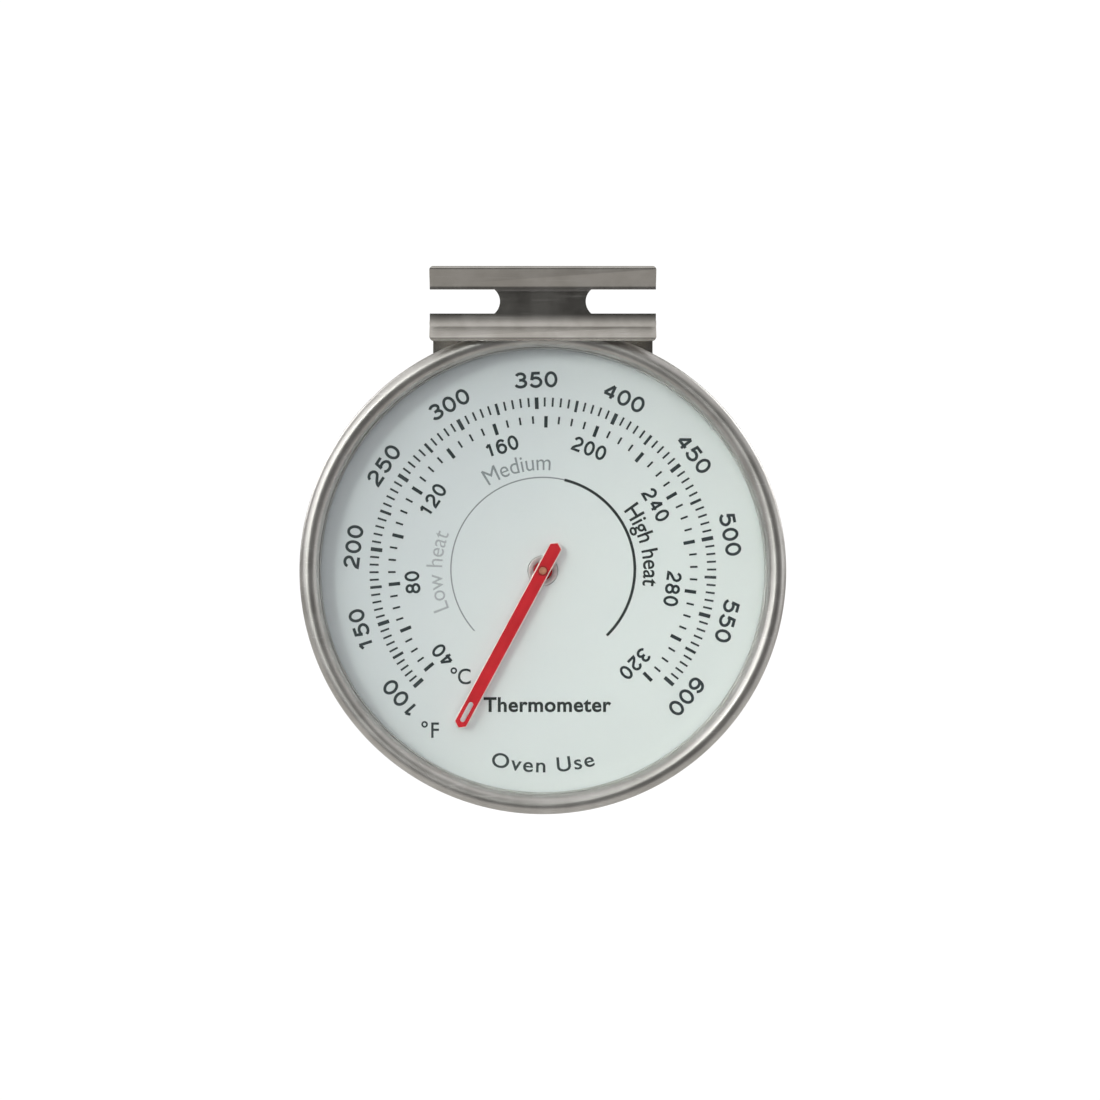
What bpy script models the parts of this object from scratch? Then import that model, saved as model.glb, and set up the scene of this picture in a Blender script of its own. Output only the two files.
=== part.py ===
"""Dial oven thermometer: bezel and case, bimetal movement, and the hanger for an oven rack.

All sizes in this file are millimetres, and they become metres when a mesh is made.
The dial faces -Y and +Z is up. Sizes along y are counted from the dial's face to the back of
the case. The finished model is moved forward, so that its origin is where the pointer's axis
meets the back face of the hanger plate. Left and right are those of the reader.
"""

import math

import bmesh
import bpy
from mathutils import Matrix, Vector

MM = 0.001
GAP = 0.3            # room between two pieces that rest on each other
PIN_GAP = 0.15       # room around a fastener in its hole
RING_STEPS = 64      # facets around the large round pieces
PIN_STEPS = 20       # facets around the small round pieces

# Driving dimensions
BEZEL_RADIUS = 41.25
BEAD_RADIUS = 1.46
BEZEL_SHEET = 0.45
CASE_SHEET = 0.6
HANGER_SHEET = 0.8
DIAL_RADIUS = 38.6
DIAL_THICKNESS = 0.5
DIAL_HOLE_RADIUS = 2.6
LENS_THICKNESS = 1.7
SPACER_DEPTH = 3.2
GASKET_THICKNESS = 0.6
CASE_BACK = 9.4
SHAFT_RADIUS = 0.68
BORE_RADIUS = SHAFT_RADIUS + 0.07

# Stack from the dial to the front: spacer ring, lens, bezel
SPACER_BACK = -GAP
SPACER_FRONT = SPACER_BACK - SPACER_DEPTH
LENS_BACK = SPACER_FRONT - GAP
LENS_FRONT = LENS_BACK - LENS_THICKNESS
BEAD_CENTRE = LENS_FRONT - GAP
GASKET_FRONT = LENS_BACK + GAP
GASKET_BACK = GASKET_FRONT + GASKET_THICKNESS
FLANGE_FRONT = GASKET_BACK + GAP
FLANGE_BACK = FLANGE_FRONT + CASE_SHEET
CRIMP_FRONT = FLANGE_BACK + GAP
CRIMP_BACK = CRIMP_FRONT + BEZEL_SHEET

# Radii of the case, which steps in behind the dial
SPACER_INNER = 37.9
CASE_FRONT_INNER = DIAL_RADIUS + GAP
CASE_FRONT_OUTER = CASE_FRONT_INNER + CASE_SHEET
CASE_REAR_INNER = 36.9
CASE_REAR_OUTER = CASE_REAR_INNER + CASE_SHEET
SKIRT_INNER = BEZEL_RADIUS - BEZEL_SHEET
FLANGE_RADIUS = SKIRT_INNER - 0.2
LENS_RADIUS = 40.2
LEDGE_FRONT = DIAL_THICKNESS + GAP
BACK_INNER = CASE_BACK - CASE_SHEET

# Movement, along the shaft
POINTER_FRONT = -2.6
POINTER_THICKNESS = 0.4
SHAFT_FRONT = -3.0
SHAFT_BACK = 8.7
HUB_RADIUS = 1.63
HUB_FRONT = POINTER_FRONT + POINTER_THICKNESS + GAP
HUB_BACK = 0.6
BRIDGE_FRONT = 2.0
BRIDGE_BACK = 2.8
BRIDGE_HALF_LENGTH = 22.0
BRIDGE_HALF_WIDTH = 4.5
STANDOFF_X = 18.0
COIL_FRONT = 4.7
COIL_BACK = 7.6
COIL_THICKNESS = 0.5
COIL_TURNS = 4.25
COIL_OUTER = 13.0
COLLET_RADIUS = 2.0
COLLET_FRONT = 4.5
COIL_INNER = COLLET_RADIUS + GAP + COIL_THICKNESS / 2
ANCHOR_ANGLE = math.radians(-60)
ANCHOR_RADIUS = 1.6
ANCHOR_FRONT = 3.9
FRONT_BUSH_RADIUS = 1.7
FRONT_BUSH_BACK = 3.6
REAR_BUSH_RADIUS = 2.0
REAR_BUSH_FRONT = 7.9

# Posts swaged through the case's back, and the bridge's screws
PIN_RADIUS = 1.0
SWAGE_RADIUS = 1.7
SWAGE_EDGE_RADIUS = 1.55
SWAGE_BACK = 10.1
STANDOFF_RADIUS = 2.0
SCREW_RADIUS = 0.8
SCREW_HEAD_RADIUS = 1.7
SCREW_HEAD_HEIGHT = 0.7
SCREW_TIP = 6.0

# Pointer blade, drawn pointing at twelve o'clock
POINTER_HALF_WIDTH = 1.065
POINTER_TIP = 30.15
POINTER_TIP_CORNER = 29.3
POINTER_TAIL = 5.42
POINTER_TAIL_CORNER = 4.68
WINDOW_START = 25.55
WINDOW_END = 28.45
WINDOW_HALF_WIDTH = 0.41
COLD_READING = math.radians(208.3)   # clockwise from twelve, at room temperature

# Hanger: a plate on the case's back, and the clip that takes the rack's wires
PLATE_FRONT = CASE_BACK + GAP
PLATE_BACK = PLATE_FRONT + HANGER_SHEET
PLATE_HALF_WIDTH = 19.2
PLATE_BOTTOM = -8.0
TONGUE_HALF_WIDTH = 10.0             # of the plate's tapered lower end
TONGUE_CORNER = 5.0
TAPER_TOP = 26.0
TAPER_BOTTOM = 6.0
THROUGH_ALL = (-20, 20)              # y of a cutter that passes the whole hanger
SHELF_BOTTOM = BEZEL_RADIUS + GAP
SHELF_TOP = SHELF_BOTTOM + HANGER_SHEET
CLIP_HALF_WIDTH = 19.1
CLIP_WEB = -7.0                      # y of the middle of the clip's upright sheet
CLIP_CORNER = 0.9
UPPER_BEND = 2.4                     # radius of the sheet's middle
LOWER_BEND = 4.0
UPPER_TILT = math.radians(35)
LOWER_TILT = math.radians(40)
UPPER_EDGE_Z = 51.35
LOWER_EDGE_Z = 38.6
WEB_TOP = 46.95                      # where the clip's flat sheet starts to bend
WEB_BOTTOM = 43.37
SLOT_TOP = 47.55
SLOT_BOTTOM = 43.45
FOOT_TOP = SLOT_BOTTOM - 0.02        # just under the slot, so the two cuts stay apart
FOOT_BOTTOM = SLOT_BOTTOM - HANGER_SHEET
NECK_HALF_WIDTH = 7.25
SLOT_END_RADIUS = 2.72
FOOT_INNER_X = 8.8
FOOT_OUTER_X = 18.6
FOOT_BACK = -1.8
SHELF_FRONT = CLIP_WEB + HANGER_SHEET / 2 + 0.4
HANGER_RIVET_X = 10.0
HANGER_RIVET_Z = 22.0
CLIP_RIVET_X = 13.6
CLIP_RIVET_Y = -3.8
RIVET_RADIUS = 0.9
RIVET_HEAD_RADIUS = 1.7
RIVET_SINK = 0.5                     # depth of the countersink
RIVET_TAIL = 0.6                     # height of the round head

VENT_COUNT = 8
VENT_RING_RADIUS = 27.0
VENT_RADIUS = 2.0

# Finishes: colour, metallic, roughness, transmission
SATIN_STEEL = ((0.55, 0.54, 0.51, 1), 1.0, 0.32, 0.0)
CLEAR_GLASS = ((0.95, 0.97, 0.97, 1), 0.0, 0.03, 1.0)
DIAL_ENAMEL = ((0.70, 0.74, 0.74, 1), 0.2, 0.45, 0.0)
RED_PAINT = ((0.52, 0.018, 0.028, 1), 0.0, 0.40, 0.0)
COPPER_ALLOY = ((0.62, 0.36, 0.20, 1), 1.0, 0.35, 0.0)
BRASS = ((0.72, 0.55, 0.28, 1), 1.0, 0.30, 0.0)
BIMETAL = ((0.46, 0.43, 0.40, 1), 1.0, 0.38, 0.0)
PLATED_STEEL = ((0.62, 0.62, 0.60, 1), 1.0, 0.35, 0.0)
SILICONE = ((0.16, 0.05, 0.04, 1), 0.0, 0.60, 0.0)


# ---------------------------------------------------------------- helpers

def clear_scene():
    for obj in list(bpy.data.objects):
        bpy.data.objects.remove(obj, do_unlink=True)


def paint(obj, finish):
    colour, metallic, roughness, transmission = finish
    material = bpy.data.materials.new(obj.name)
    material.use_nodes = True
    shader = material.node_tree.nodes["Principled BSDF"]
    shader.inputs["Base Color"].default_value = colour
    shader.inputs["Metallic"].default_value = metallic
    shader.inputs["Roughness"].default_value = roughness
    shader.inputs["Transmission Weight"].default_value = transmission
    obj.data.materials.append(material)


def to_object(name, bm, finish=None):
    """Turn a bmesh in millimetres into an object in metres; without a finish it is a cutter."""
    bmesh.ops.recalc_face_normals(bm, faces=bm.faces)
    bmesh.ops.translate(bm, vec=(0, -PLATE_BACK, 0), verts=bm.verts)
    bmesh.ops.scale(bm, vec=(MM, MM, MM), verts=bm.verts)
    mesh = bpy.data.meshes.new(name)
    bm.to_mesh(mesh)
    bm.free()
    mesh.shade_smooth()
    mesh.set_sharp_from_angle(angle=math.radians(30))
    obj = bpy.data.objects.new(name, mesh)
    bpy.context.scene.collection.objects.link(obj)
    if finish is None:
        obj.hide_render = True
        obj.display_type = "WIRE"
    else:
        paint(obj, finish)
    return obj


def arc(centre, radius, start, end, steps):
    """Points of an arc, with angles in degrees from the first axis towards the second."""
    points = []
    for i in range(steps + 1):
        angle = math.radians(start + (end - start) * i / steps)
        points.append((centre[0] + radius * math.cos(angle), centre[1] + radius * math.sin(angle)))
    return points


def turned(bm, profile, steps, place=Matrix.Identity(4)):
    """Turn a closed profile of (radius, y) points about Y; a point at radius 0 is a pole."""
    rings = []
    for radius, y in profile:
        if radius == 0:
            rings.append([bm.verts.new(place @ Vector((0, y, 0)))])
            continue
        ring = []
        for i in range(steps):
            angle = 2 * math.pi * i / steps
            ring.append(bm.verts.new(place @ Vector((radius * math.cos(angle), y, radius * math.sin(angle)))))
        rings.append(ring)
    for k, ring in enumerate(rings):
        following = rings[(k + 1) % len(rings)]
        if len(ring) == 1 and len(following) == 1:
            continue
        for i in range(steps):
            j = (i + 1) % steps
            corners = [ring[i % len(ring)], ring[j % len(ring)]]
            corners += [following[j % len(following)], following[i % len(following)]]
            bm.faces.new(list(dict.fromkeys(corners)))


def turned_piece(name, profile, steps, finish, place=Matrix.Identity(4)):
    bm = bmesh.new()
    turned(bm, profile, steps, place)
    return to_object(name, bm, finish)


def prism(bm, outline, low, high, axis):
    """Extrude an outline from low to high along axis X or Y; the outline is (y, z) or (x, z)."""
    ends = []
    for level in (low, high):
        if axis == "X":
            ends.append([bm.verts.new((level, a, b)) for a, b in outline])
        else:
            ends.append([bm.verts.new((a, level, b)) for a, b in outline])
    bm.faces.new(ends[0])
    bm.faces.new(ends[1])
    count = len(outline)
    for i in range(count):
        j = (i + 1) % count
        bm.faces.new((ends[0][i], ends[0][j], ends[1][j], ends[1][i]))


def prism_piece(name, outline, low, high, axis, finish=None):
    bm = bmesh.new()
    prism(bm, outline, low, high, axis)
    return to_object(name, bm, finish)


def bored(name, places, profile):
    """One cutter turned at each place, with its facets half a step off the neighbours' corners."""
    bm = bmesh.new()
    half_step = Matrix.Rotation(math.pi / PIN_STEPS, 4, "Y")
    for place in places:
        turned(bm, profile, PIN_STEPS, place @ half_step)
    return to_object(name, bm)


def drill(name, places, radius, low, high):
    """One cutter with a round bar from low to high along the local Y of each place."""
    return bored(name, places, [(0, low), (radius, low), (radius, high), (0, high)])


def boolean(obj, other, operation):
    modifier = obj.modifiers.new(f"{operation.title()} {other.name}", "BOOLEAN")
    modifier.operation = operation
    modifier.solver = "EXACT"
    modifier.object = other


def at(x, z):
    return Matrix.Translation((x, 0, z))


def upright_at(x, y):
    """A place whose local +Y points up along world +Z."""
    return Matrix.Translation((x, y, 0)) @ Matrix.Rotation(math.radians(90), 4, "X")


def sides():
    return (("left", -1), ("right", 1))


def bent_sheet(start, heading, moves, thickness):
    """Outline of a bent sheet in the (y, z) plane.

    heading is the angle from +y towards +z. A move is ("go", length), or ("bend", angle, radius)
    with a positive angle turning towards +z from +y; the radius is that of the sheet's middle.
    """
    steps = 5
    y, z = start
    samples = [(y, z, heading)]
    for move in moves:
        if move[0] == "go":
            y += move[1] * math.cos(heading)
            z += move[1] * math.sin(heading)
            samples.append((y, z, heading))
            continue
        turn = move[1] / steps
        chord = 2 * move[2] * math.sin(abs(turn) / 2)
        for _ in range(steps):
            y += chord * math.cos(heading + turn / 2)
            z += chord * math.sin(heading + turn / 2)
            heading += turn
            samples.append((y, z, heading))
    half = thickness / 2
    one_side = [(y - half * math.sin(h), z + half * math.cos(h)) for y, z, h in samples]
    other_side = [(y + half * math.sin(h), z - half * math.cos(h)) for y, z, h in samples]
    return one_side + other_side[::-1]


def rounded_rectangle(x0, z0, x1, z1, low_corner, high_corner):
    """Outline with one corner radius at the bottom and another at the top."""
    outline = arc((x1 - low_corner, z0 + low_corner), low_corner, -90, 0, 4)
    outline += arc((x1 - high_corner, z1 - high_corner), high_corner, 0, 90, 4)
    outline += arc((x0 + high_corner, z1 - high_corner), high_corner, 90, 180, 4)
    outline += arc((x0 + low_corner, z0 + low_corner), low_corner, 180, 270, 4)
    return outline


# ---------------------------------------------------------------- case and window

def make_case_cup():
    """Drawn cup with a stepped wall; its inner and outer edges are rounded in two facets."""
    bush_hole = REAR_BUSH_RADIUS + GAP
    inner_round = 1.2
    outer_round = inner_round + CASE_SHEET
    wall = [(bush_hole, BACK_INNER), (CASE_REAR_INNER - inner_round, BACK_INNER)]
    wall += [(CASE_REAR_INNER - 0.35, BACK_INNER - 0.35), (CASE_REAR_INNER, BACK_INNER - inner_round)]
    wall += [(CASE_REAR_INNER, LEDGE_FRONT), (CASE_FRONT_INNER, LEDGE_FRONT)]
    wall += [(CASE_FRONT_INNER, FLANGE_FRONT), (FLANGE_RADIUS, FLANGE_FRONT)]
    wall += [(FLANGE_RADIUS, FLANGE_BACK), (CASE_FRONT_OUTER, FLANGE_BACK)]
    wall += [(CASE_FRONT_OUTER, LEDGE_FRONT + 0.35), (CASE_FRONT_OUTER - 0.25, LEDGE_FRONT + CASE_SHEET)]
    wall += [(CASE_REAR_OUTER, LEDGE_FRONT + CASE_SHEET), (CASE_REAR_OUTER, CASE_BACK - outer_round)]
    wall += [(CASE_REAR_OUTER - 0.5, CASE_BACK - 0.5), (CASE_REAR_OUTER - outer_round, CASE_BACK)]
    wall += [(bush_hole, CASE_BACK)]
    case = turned_piece("case_cup", wall, RING_STEPS, SATIN_STEEL)
    through_back = (BACK_INNER - 1, CASE_BACK + 1)
    vents = []
    for i in range(VENT_COUNT):
        angle = -math.pi * i / (VENT_COUNT - 1)
        vents.append(at(VENT_RING_RADIUS * math.cos(angle), VENT_RING_RADIUS * math.sin(angle)))
    boolean(case, drill("cut_vents", vents, VENT_RADIUS, *through_back), "DIFFERENCE")
    pins = [at(side * STANDOFF_X, 0) for _, side in sides()]
    pins += [at(side * HANGER_RIVET_X, HANGER_RIVET_Z) for _, side in sides()]
    pins += [anchor_place()]
    boolean(case, drill("cut_case_pins", pins, PIN_RADIUS + PIN_GAP, *through_back), "DIFFERENCE")


def make_bezel_ring():
    """Half-round bead, a skirt around the case's flange, and the crimp that closes behind it."""
    bead_middle = (BEZEL_RADIUS - BEAD_RADIUS, BEAD_CENTRE)
    crimp_edge = CASE_FRONT_OUTER + 0.4
    chamfer = 0.35
    profile = arc(bead_middle, BEAD_RADIUS, -180, 0, 10)
    profile += [(BEZEL_RADIUS, CRIMP_BACK - chamfer), (BEZEL_RADIUS - chamfer, CRIMP_BACK)]
    profile += [(crimp_edge, CRIMP_BACK), (crimp_edge, CRIMP_FRONT)]
    profile += [(SKIRT_INNER, CRIMP_FRONT)]
    profile += arc(bead_middle, BEAD_RADIUS - BEZEL_SHEET, 0, -180, 6)
    turned_piece("bezel_ring", profile, RING_STEPS, SATIN_STEEL)


def make_window_stack():
    """Window, its gasket, the spacer ring behind them, and the dial."""
    chamfer = 0.2
    lens = [(0, LENS_FRONT), (LENS_RADIUS - chamfer, LENS_FRONT), (LENS_RADIUS, LENS_FRONT + chamfer)]
    lens += [(LENS_RADIUS, LENS_BACK - chamfer), (LENS_RADIUS - chamfer, LENS_BACK), (0, LENS_BACK)]
    turned_piece("lens", lens, RING_STEPS, CLEAR_GLASS)

    inner = CASE_FRONT_INNER
    gasket = [(inner, GASKET_FRONT), (LENS_RADIUS, GASKET_FRONT), (LENS_RADIUS, GASKET_BACK)]
    gasket += [(inner, GASKET_BACK)]
    turned_piece("lens_gasket", gasket, RING_STEPS, SILICONE)

    spacer = [(SPACER_INNER, SPACER_FRONT), (DIAL_RADIUS, SPACER_FRONT), (DIAL_RADIUS, SPACER_BACK)]
    spacer += [(SPACER_INNER, SPACER_BACK)]
    turned_piece("spacer_ring", spacer, RING_STEPS, SATIN_STEEL)

    plate = [(DIAL_HOLE_RADIUS, 0), (DIAL_RADIUS, 0), (DIAL_RADIUS, DIAL_THICKNESS)]
    plate += [(DIAL_HOLE_RADIUS, DIAL_THICKNESS)]
    turned_piece("dial_plate", plate, RING_STEPS, DIAL_ENAMEL)


# ---------------------------------------------------------------- movement

def anchor_place():
    return at(COIL_OUTER * math.cos(ANCHOR_ANGLE), COIL_OUTER * math.sin(ANCHOR_ANGLE))


def pointer_outline():
    """Blade with a round eye at the shaft, from the tail's point around to the tip and back."""
    eye_angle = math.degrees(math.acos(POINTER_HALF_WIDTH / HUB_RADIUS))
    right = [(POINTER_HALF_WIDTH, -POINTER_TAIL_CORNER)]
    right += arc((0, 0), HUB_RADIUS, -eye_angle, eye_angle, 6)
    right += [(POINTER_HALF_WIDTH, POINTER_TIP_CORNER)]
    left = [(-x, z) for x, z in right[::-1]]
    return [(0, -POINTER_TAIL)] + right + [(0, POINTER_TIP)] + left


def make_pointer(axis):
    """Blade, hub, shaft and collet: everything that turns with the axis."""
    back = POINTER_FRONT + POINTER_THICKNESS
    blade = prism_piece("pointer", pointer_outline(), POINTER_FRONT, back, "Y", RED_PAINT)
    eye = drill("cut_pointer_eye", [Matrix.Identity(4)], BORE_RADIUS, POINTER_FRONT - 1, back + 1)
    window_outline = arc((0, WINDOW_START), WINDOW_HALF_WIDTH, 180, 360, 8)
    window_outline += arc((0, WINDOW_END), WINDOW_HALF_WIDTH, 0, 180, 8)
    window = prism_piece("cut_pointer_window", window_outline, POINTER_FRONT - 1, back + 1, "Y")
    for cutter in (eye, window):
        boolean(blade, cutter, "DIFFERENCE")
        cutter.parent = axis
    blade.parent = axis

    hub_profile = [(BORE_RADIUS, HUB_FRONT), (HUB_RADIUS, HUB_FRONT), (HUB_RADIUS, HUB_BACK)]
    hub_profile += [(BORE_RADIUS, HUB_BACK)]
    turned_piece("pointer_hub", hub_profile, PIN_STEPS + 4, RED_PAINT).parent = axis

    nose = 0.12
    shaft = [(0, SHAFT_FRONT), (SHAFT_RADIUS - nose, SHAFT_FRONT), (SHAFT_RADIUS, SHAFT_FRONT + nose)]
    shaft += [(SHAFT_RADIUS, SHAFT_BACK - nose), (SHAFT_RADIUS - nose, SHAFT_BACK), (0, SHAFT_BACK)]
    turned_piece("pointer_shaft", shaft, PIN_STEPS, COPPER_ALLOY).parent = axis

    collet = [(BORE_RADIUS, COLLET_FRONT), (COLLET_RADIUS, COLLET_FRONT), (COLLET_RADIUS, COIL_BACK)]
    collet += [(BORE_RADIUS, COIL_BACK)]
    turned_piece("coil_collet", collet, PIN_STEPS, BRASS).parent = axis


def make_bimetal_coil():
    """Flat spiral that starts beside the collet and ends in a straight tail through its post."""
    steps_per_turn = 26
    count = round(COIL_TURNS * steps_per_turn)
    sweep = 2 * math.pi * COIL_TURNS
    middle = []
    for i in range(count + 1):
        part = i / count
        radius = COIL_INNER + (COIL_OUTER - COIL_INNER) * part
        angle = ANCHOR_ANGLE + sweep * (part - 1)
        middle.append(Vector((radius * math.cos(angle), 0, radius * math.sin(angle))))
    tail = Vector((-math.sin(ANCHOR_ANGLE), 0, math.cos(ANCHOR_ANGLE)))
    middle.append(middle[-1] + tail * (ANCHOR_RADIUS + 0.8))

    bm = bmesh.new()
    sections = []
    for i, point in enumerate(middle):
        along = middle[min(i + 1, len(middle) - 1)] - middle[max(i - 1, 0)]
        outward = Vector((along.z, 0, -along.x)).normalized() * COIL_THICKNESS / 2
        corners = ((outward, COIL_FRONT), (outward, COIL_BACK), (-outward, COIL_BACK), (-outward, COIL_FRONT))
        sections.append([bm.verts.new(point + side + Vector((0, y, 0))) for side, y in corners])
    for here, following in zip(sections, sections[1:]):
        for k in range(4):
            j = (k + 1) % 4
            bm.faces.new((here[k], here[j], following[j], following[k]))
    bm.faces.new(sections[0])
    bm.faces.new(sections[-1])
    to_object("bimetal_coil", bm, BIMETAL)


def swaged_end():
    """Profile of a post's pin from inside the case to its swaged head behind the case's back."""
    pin = [(PIN_RADIUS, BACK_INNER - GAP), (PIN_RADIUS, PLATE_FRONT)]
    return pin + [(SWAGE_RADIUS, PLATE_FRONT), (SWAGE_EDGE_RADIUS, SWAGE_BACK), (0, SWAGE_BACK)]


def make_coil_anchor():
    """Split post that holds the coil's tail, swaged through the case's back, and its cap."""
    front = ANCHOR_FRONT
    post = [(0, front), (ANCHOR_RADIUS, front), (ANCHOR_RADIUS, BACK_INNER - GAP)] + swaged_end()
    anchor = turned_piece("coil_anchor_post", post, PIN_STEPS, PLATED_STEEL, anchor_place())
    half_slit = COIL_THICKNESS / 2 + GAP
    reach = ANCHOR_RADIUS + 1
    outline = [(-half_slit, -reach), (half_slit, -reach), (half_slit, reach), (-half_slit, reach)]
    slit = prism_piece("cut_anchor_slit", outline, front - 1, COIL_BACK + GAP, "Y")
    slit.location = anchor_place().translation * MM
    slit.rotation_euler.y = -ANCHOR_ANGLE
    boolean(anchor, slit, "DIFFERENCE")

    bore = ANCHOR_RADIUS + PIN_GAP
    rim = bore + 0.45
    cap_front = front - 0.7
    cap_back = front + 0.5
    cap = [(0, cap_front), (rim, cap_front), (rim, cap_back), (bore, cap_back)]
    cap += [(bore, front - GAP), (0, front - GAP)]
    turned_piece("coil_post_cap", cap, PIN_STEPS, BRASS, anchor_place())


def make_bridge():
    """Bar that carries the front bush, screwed on two standoffs."""
    end = BRIDGE_HALF_WIDTH
    reach = BRIDGE_HALF_LENGTH
    outline = rounded_rectangle(-reach, -end, reach, end, end - 0.1, end - 0.1)
    bridge = prism_piece("movement_bridge", outline, BRIDGE_FRONT, BRIDGE_BACK, "Y", PLATED_STEEL)
    through = (BRIDGE_FRONT - 1, BRIDGE_BACK + 1)
    hole = SCREW_RADIUS + PIN_GAP
    bush_hole = FRONT_BUSH_RADIUS + PIN_GAP
    screw_places = [at(side * STANDOFF_X, 0) for _, side in sides()]
    boolean(bridge, drill("cut_bridge_bush", [at(0, 0)], bush_hole, *through), "DIFFERENCE")
    boolean(bridge, drill("cut_bridge_screws", screw_places, hole, *through), "DIFFERENCE")

    front = BRIDGE_BACK + GAP
    hole_end = SCREW_TIP + 0.5
    standoff = [(0, hole_end), (hole, hole_end), (hole, front), (STANDOFF_RADIUS, front)]
    standoff += [(STANDOFF_RADIUS, BACK_INNER - GAP)] + swaged_end()
    under_head = BRIDGE_FRONT - GAP
    head_front = under_head - SCREW_HEAD_HEIGHT
    chamfer = 0.25
    screw = [(0, head_front), (SCREW_HEAD_RADIUS - chamfer, head_front)]
    screw += [(SCREW_HEAD_RADIUS, head_front + chamfer), (SCREW_HEAD_RADIUS, under_head)]
    screw += [(SCREW_RADIUS, under_head), (SCREW_RADIUS, SCREW_TIP), (0, SCREW_TIP)]
    slot_levels = (head_front - 0.5, head_front + SCREW_HEAD_HEIGHT / 2)
    for name, side in sides():
        place = at(side * STANDOFF_X, 0)
        turned_piece(f"bridge_standoff_{name}", standoff, PIN_STEPS, PLATED_STEEL, place)
        head = turned_piece(f"bridge_screw_{name}", screw, PIN_STEPS, PLATED_STEEL, place)
        slot = prism_piece(f"cut_screw_slot_{name}", screw_slot(side * STANDOFF_X), *slot_levels, "Y")
        boolean(head, slot, "DIFFERENCE")


def screw_slot(x):
    reach = SCREW_HEAD_RADIUS + 0.5
    half = 0.2
    return [(x - reach, -half), (x + reach, -half), (x + reach, half), (x - reach, half)]


def make_bushes():
    """The shaft's two bushes, and the washer between the collet and the front one."""
    rim = 2.35
    rim_front = 1.2
    rim_back = BRIDGE_FRONT - GAP
    flange = 2.6
    flange_front = BRIDGE_BACK + GAP
    front = [(BORE_RADIUS, rim_front), (rim, rim_front), (rim, rim_back), (FRONT_BUSH_RADIUS, rim_back)]
    front += [(FRONT_BUSH_RADIUS, flange_front), (flange, flange_front), (flange, FRONT_BUSH_BACK)]
    front += [(BORE_RADIUS, FRONT_BUSH_BACK)]
    turned_piece("front_bearing_bush", front, PIN_STEPS + 4, BRASS)

    washer_front = FRONT_BUSH_BACK + GAP
    washer_back = COLLET_FRONT - GAP
    washer = [(BORE_RADIUS, washer_front), (COLLET_RADIUS, washer_front), (COLLET_RADIUS, washer_back)]
    washer += [(BORE_RADIUS, washer_back)]
    turned_piece("thrust_washer", washer, PIN_STEPS, COPPER_ALLOY)

    rear_flange = 3.0
    seat = BACK_INNER - GAP
    rear = [(BORE_RADIUS, REAR_BUSH_FRONT), (rear_flange, REAR_BUSH_FRONT), (rear_flange, seat)]
    rear += [(REAR_BUSH_RADIUS, seat), (REAR_BUSH_RADIUS, CASE_BACK), (0, CASE_BACK)]
    rear += [(0, SHAFT_BACK + GAP), (BORE_RADIUS, SHAFT_BACK + GAP)]
    turned_piece("rear_bearing_bush", rear, PIN_STEPS + 4, BRASS)


# ---------------------------------------------------------------- hanger

def rivet_profile(flush, under):
    """Countersunk at 'flush', with a round head at the other end that bears at 'under'.

    Both levels lie along the rivet's own axis.
    """
    down = 1 if under > flush else -1
    head_face = under + down * RIVET_TAIL
    profile = [(0, flush), (RIVET_HEAD_RADIUS, flush), (RIVET_RADIUS, flush + down * RIVET_SINK)]
    profile += [(RIVET_RADIUS, under), (RIVET_HEAD_RADIUS, under)]
    profile += [(RIVET_HEAD_RADIUS - 0.3, head_face), (0, head_face)]
    return profile


def countersink(name, places, flush, through):
    """Cutter for the same rivets: a cone from 'flush' and a hole as far as 'through'."""
    down = 1 if through > flush else -1
    wide = RIVET_HEAD_RADIUS + PIN_GAP
    narrow = RIVET_RADIUS + PIN_GAP
    profile = [(0, flush - down), (wide, flush - down), (wide, flush), (narrow, flush + down * RIVET_SINK)]
    profile += [(narrow, through), (0, through)]
    return bored(name, places, profile)


def plate_outline():
    """The plate seen from the front: full width at the shelf, then a taper to a round-cornered tongue."""
    reach = PLATE_HALF_WIDTH + 0.01
    right = arc((TONGUE_HALF_WIDTH - TONGUE_CORNER, PLATE_BOTTOM + TONGUE_CORNER), TONGUE_CORNER, -90, 0, 6)
    right += [(TONGUE_HALF_WIDTH, TAPER_BOTTOM), (reach, TAPER_TOP), (reach, SHELF_TOP + 2)]
    return right + [(-x, z) for x, z in right[::-1]]


def make_hanger_plate():
    """Plate on the case's back that bends forward over the bezel as a shelf."""
    bend = 1.2
    half = HANGER_SHEET / 2
    shelf_z = SHELF_BOTTOM + half
    plate_y = PLATE_FRONT + half
    moves = [("go", plate_y - bend - SHELF_FRONT), ("bend", math.radians(-90), bend)]
    moves += [("go", shelf_z - bend - PLATE_BOTTOM)]
    section = bent_sheet((SHELF_FRONT, shelf_z), 0, moves, HANGER_SHEET)
    plate = prism_piece("hanger_plate", section, -PLATE_HALF_WIDTH, PLATE_HALF_WIDTH, "X", SATIN_STEEL)
    boolean(plate, prism_piece("keep_plate_outline", plate_outline(), *THROUGH_ALL, "Y"), "INTERSECT")
    back_places = [at(side * HANGER_RIVET_X, HANGER_RIVET_Z) for _, side in sides()]
    boolean(plate, countersink("cut_plate_back", back_places, PLATE_BACK, PLATE_FRONT - 1), "DIFFERENCE")
    shelf_places = [upright_at(side * CLIP_RIVET_X, CLIP_RIVET_Y) for _, side in sides()]
    shelf_holes = drill("cut_shelf", shelf_places, RIVET_RADIUS + PIN_GAP, SHELF_BOTTOM - 2, SHELF_TOP + 1)
    boolean(plate, shelf_holes, "DIFFERENCE")


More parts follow.
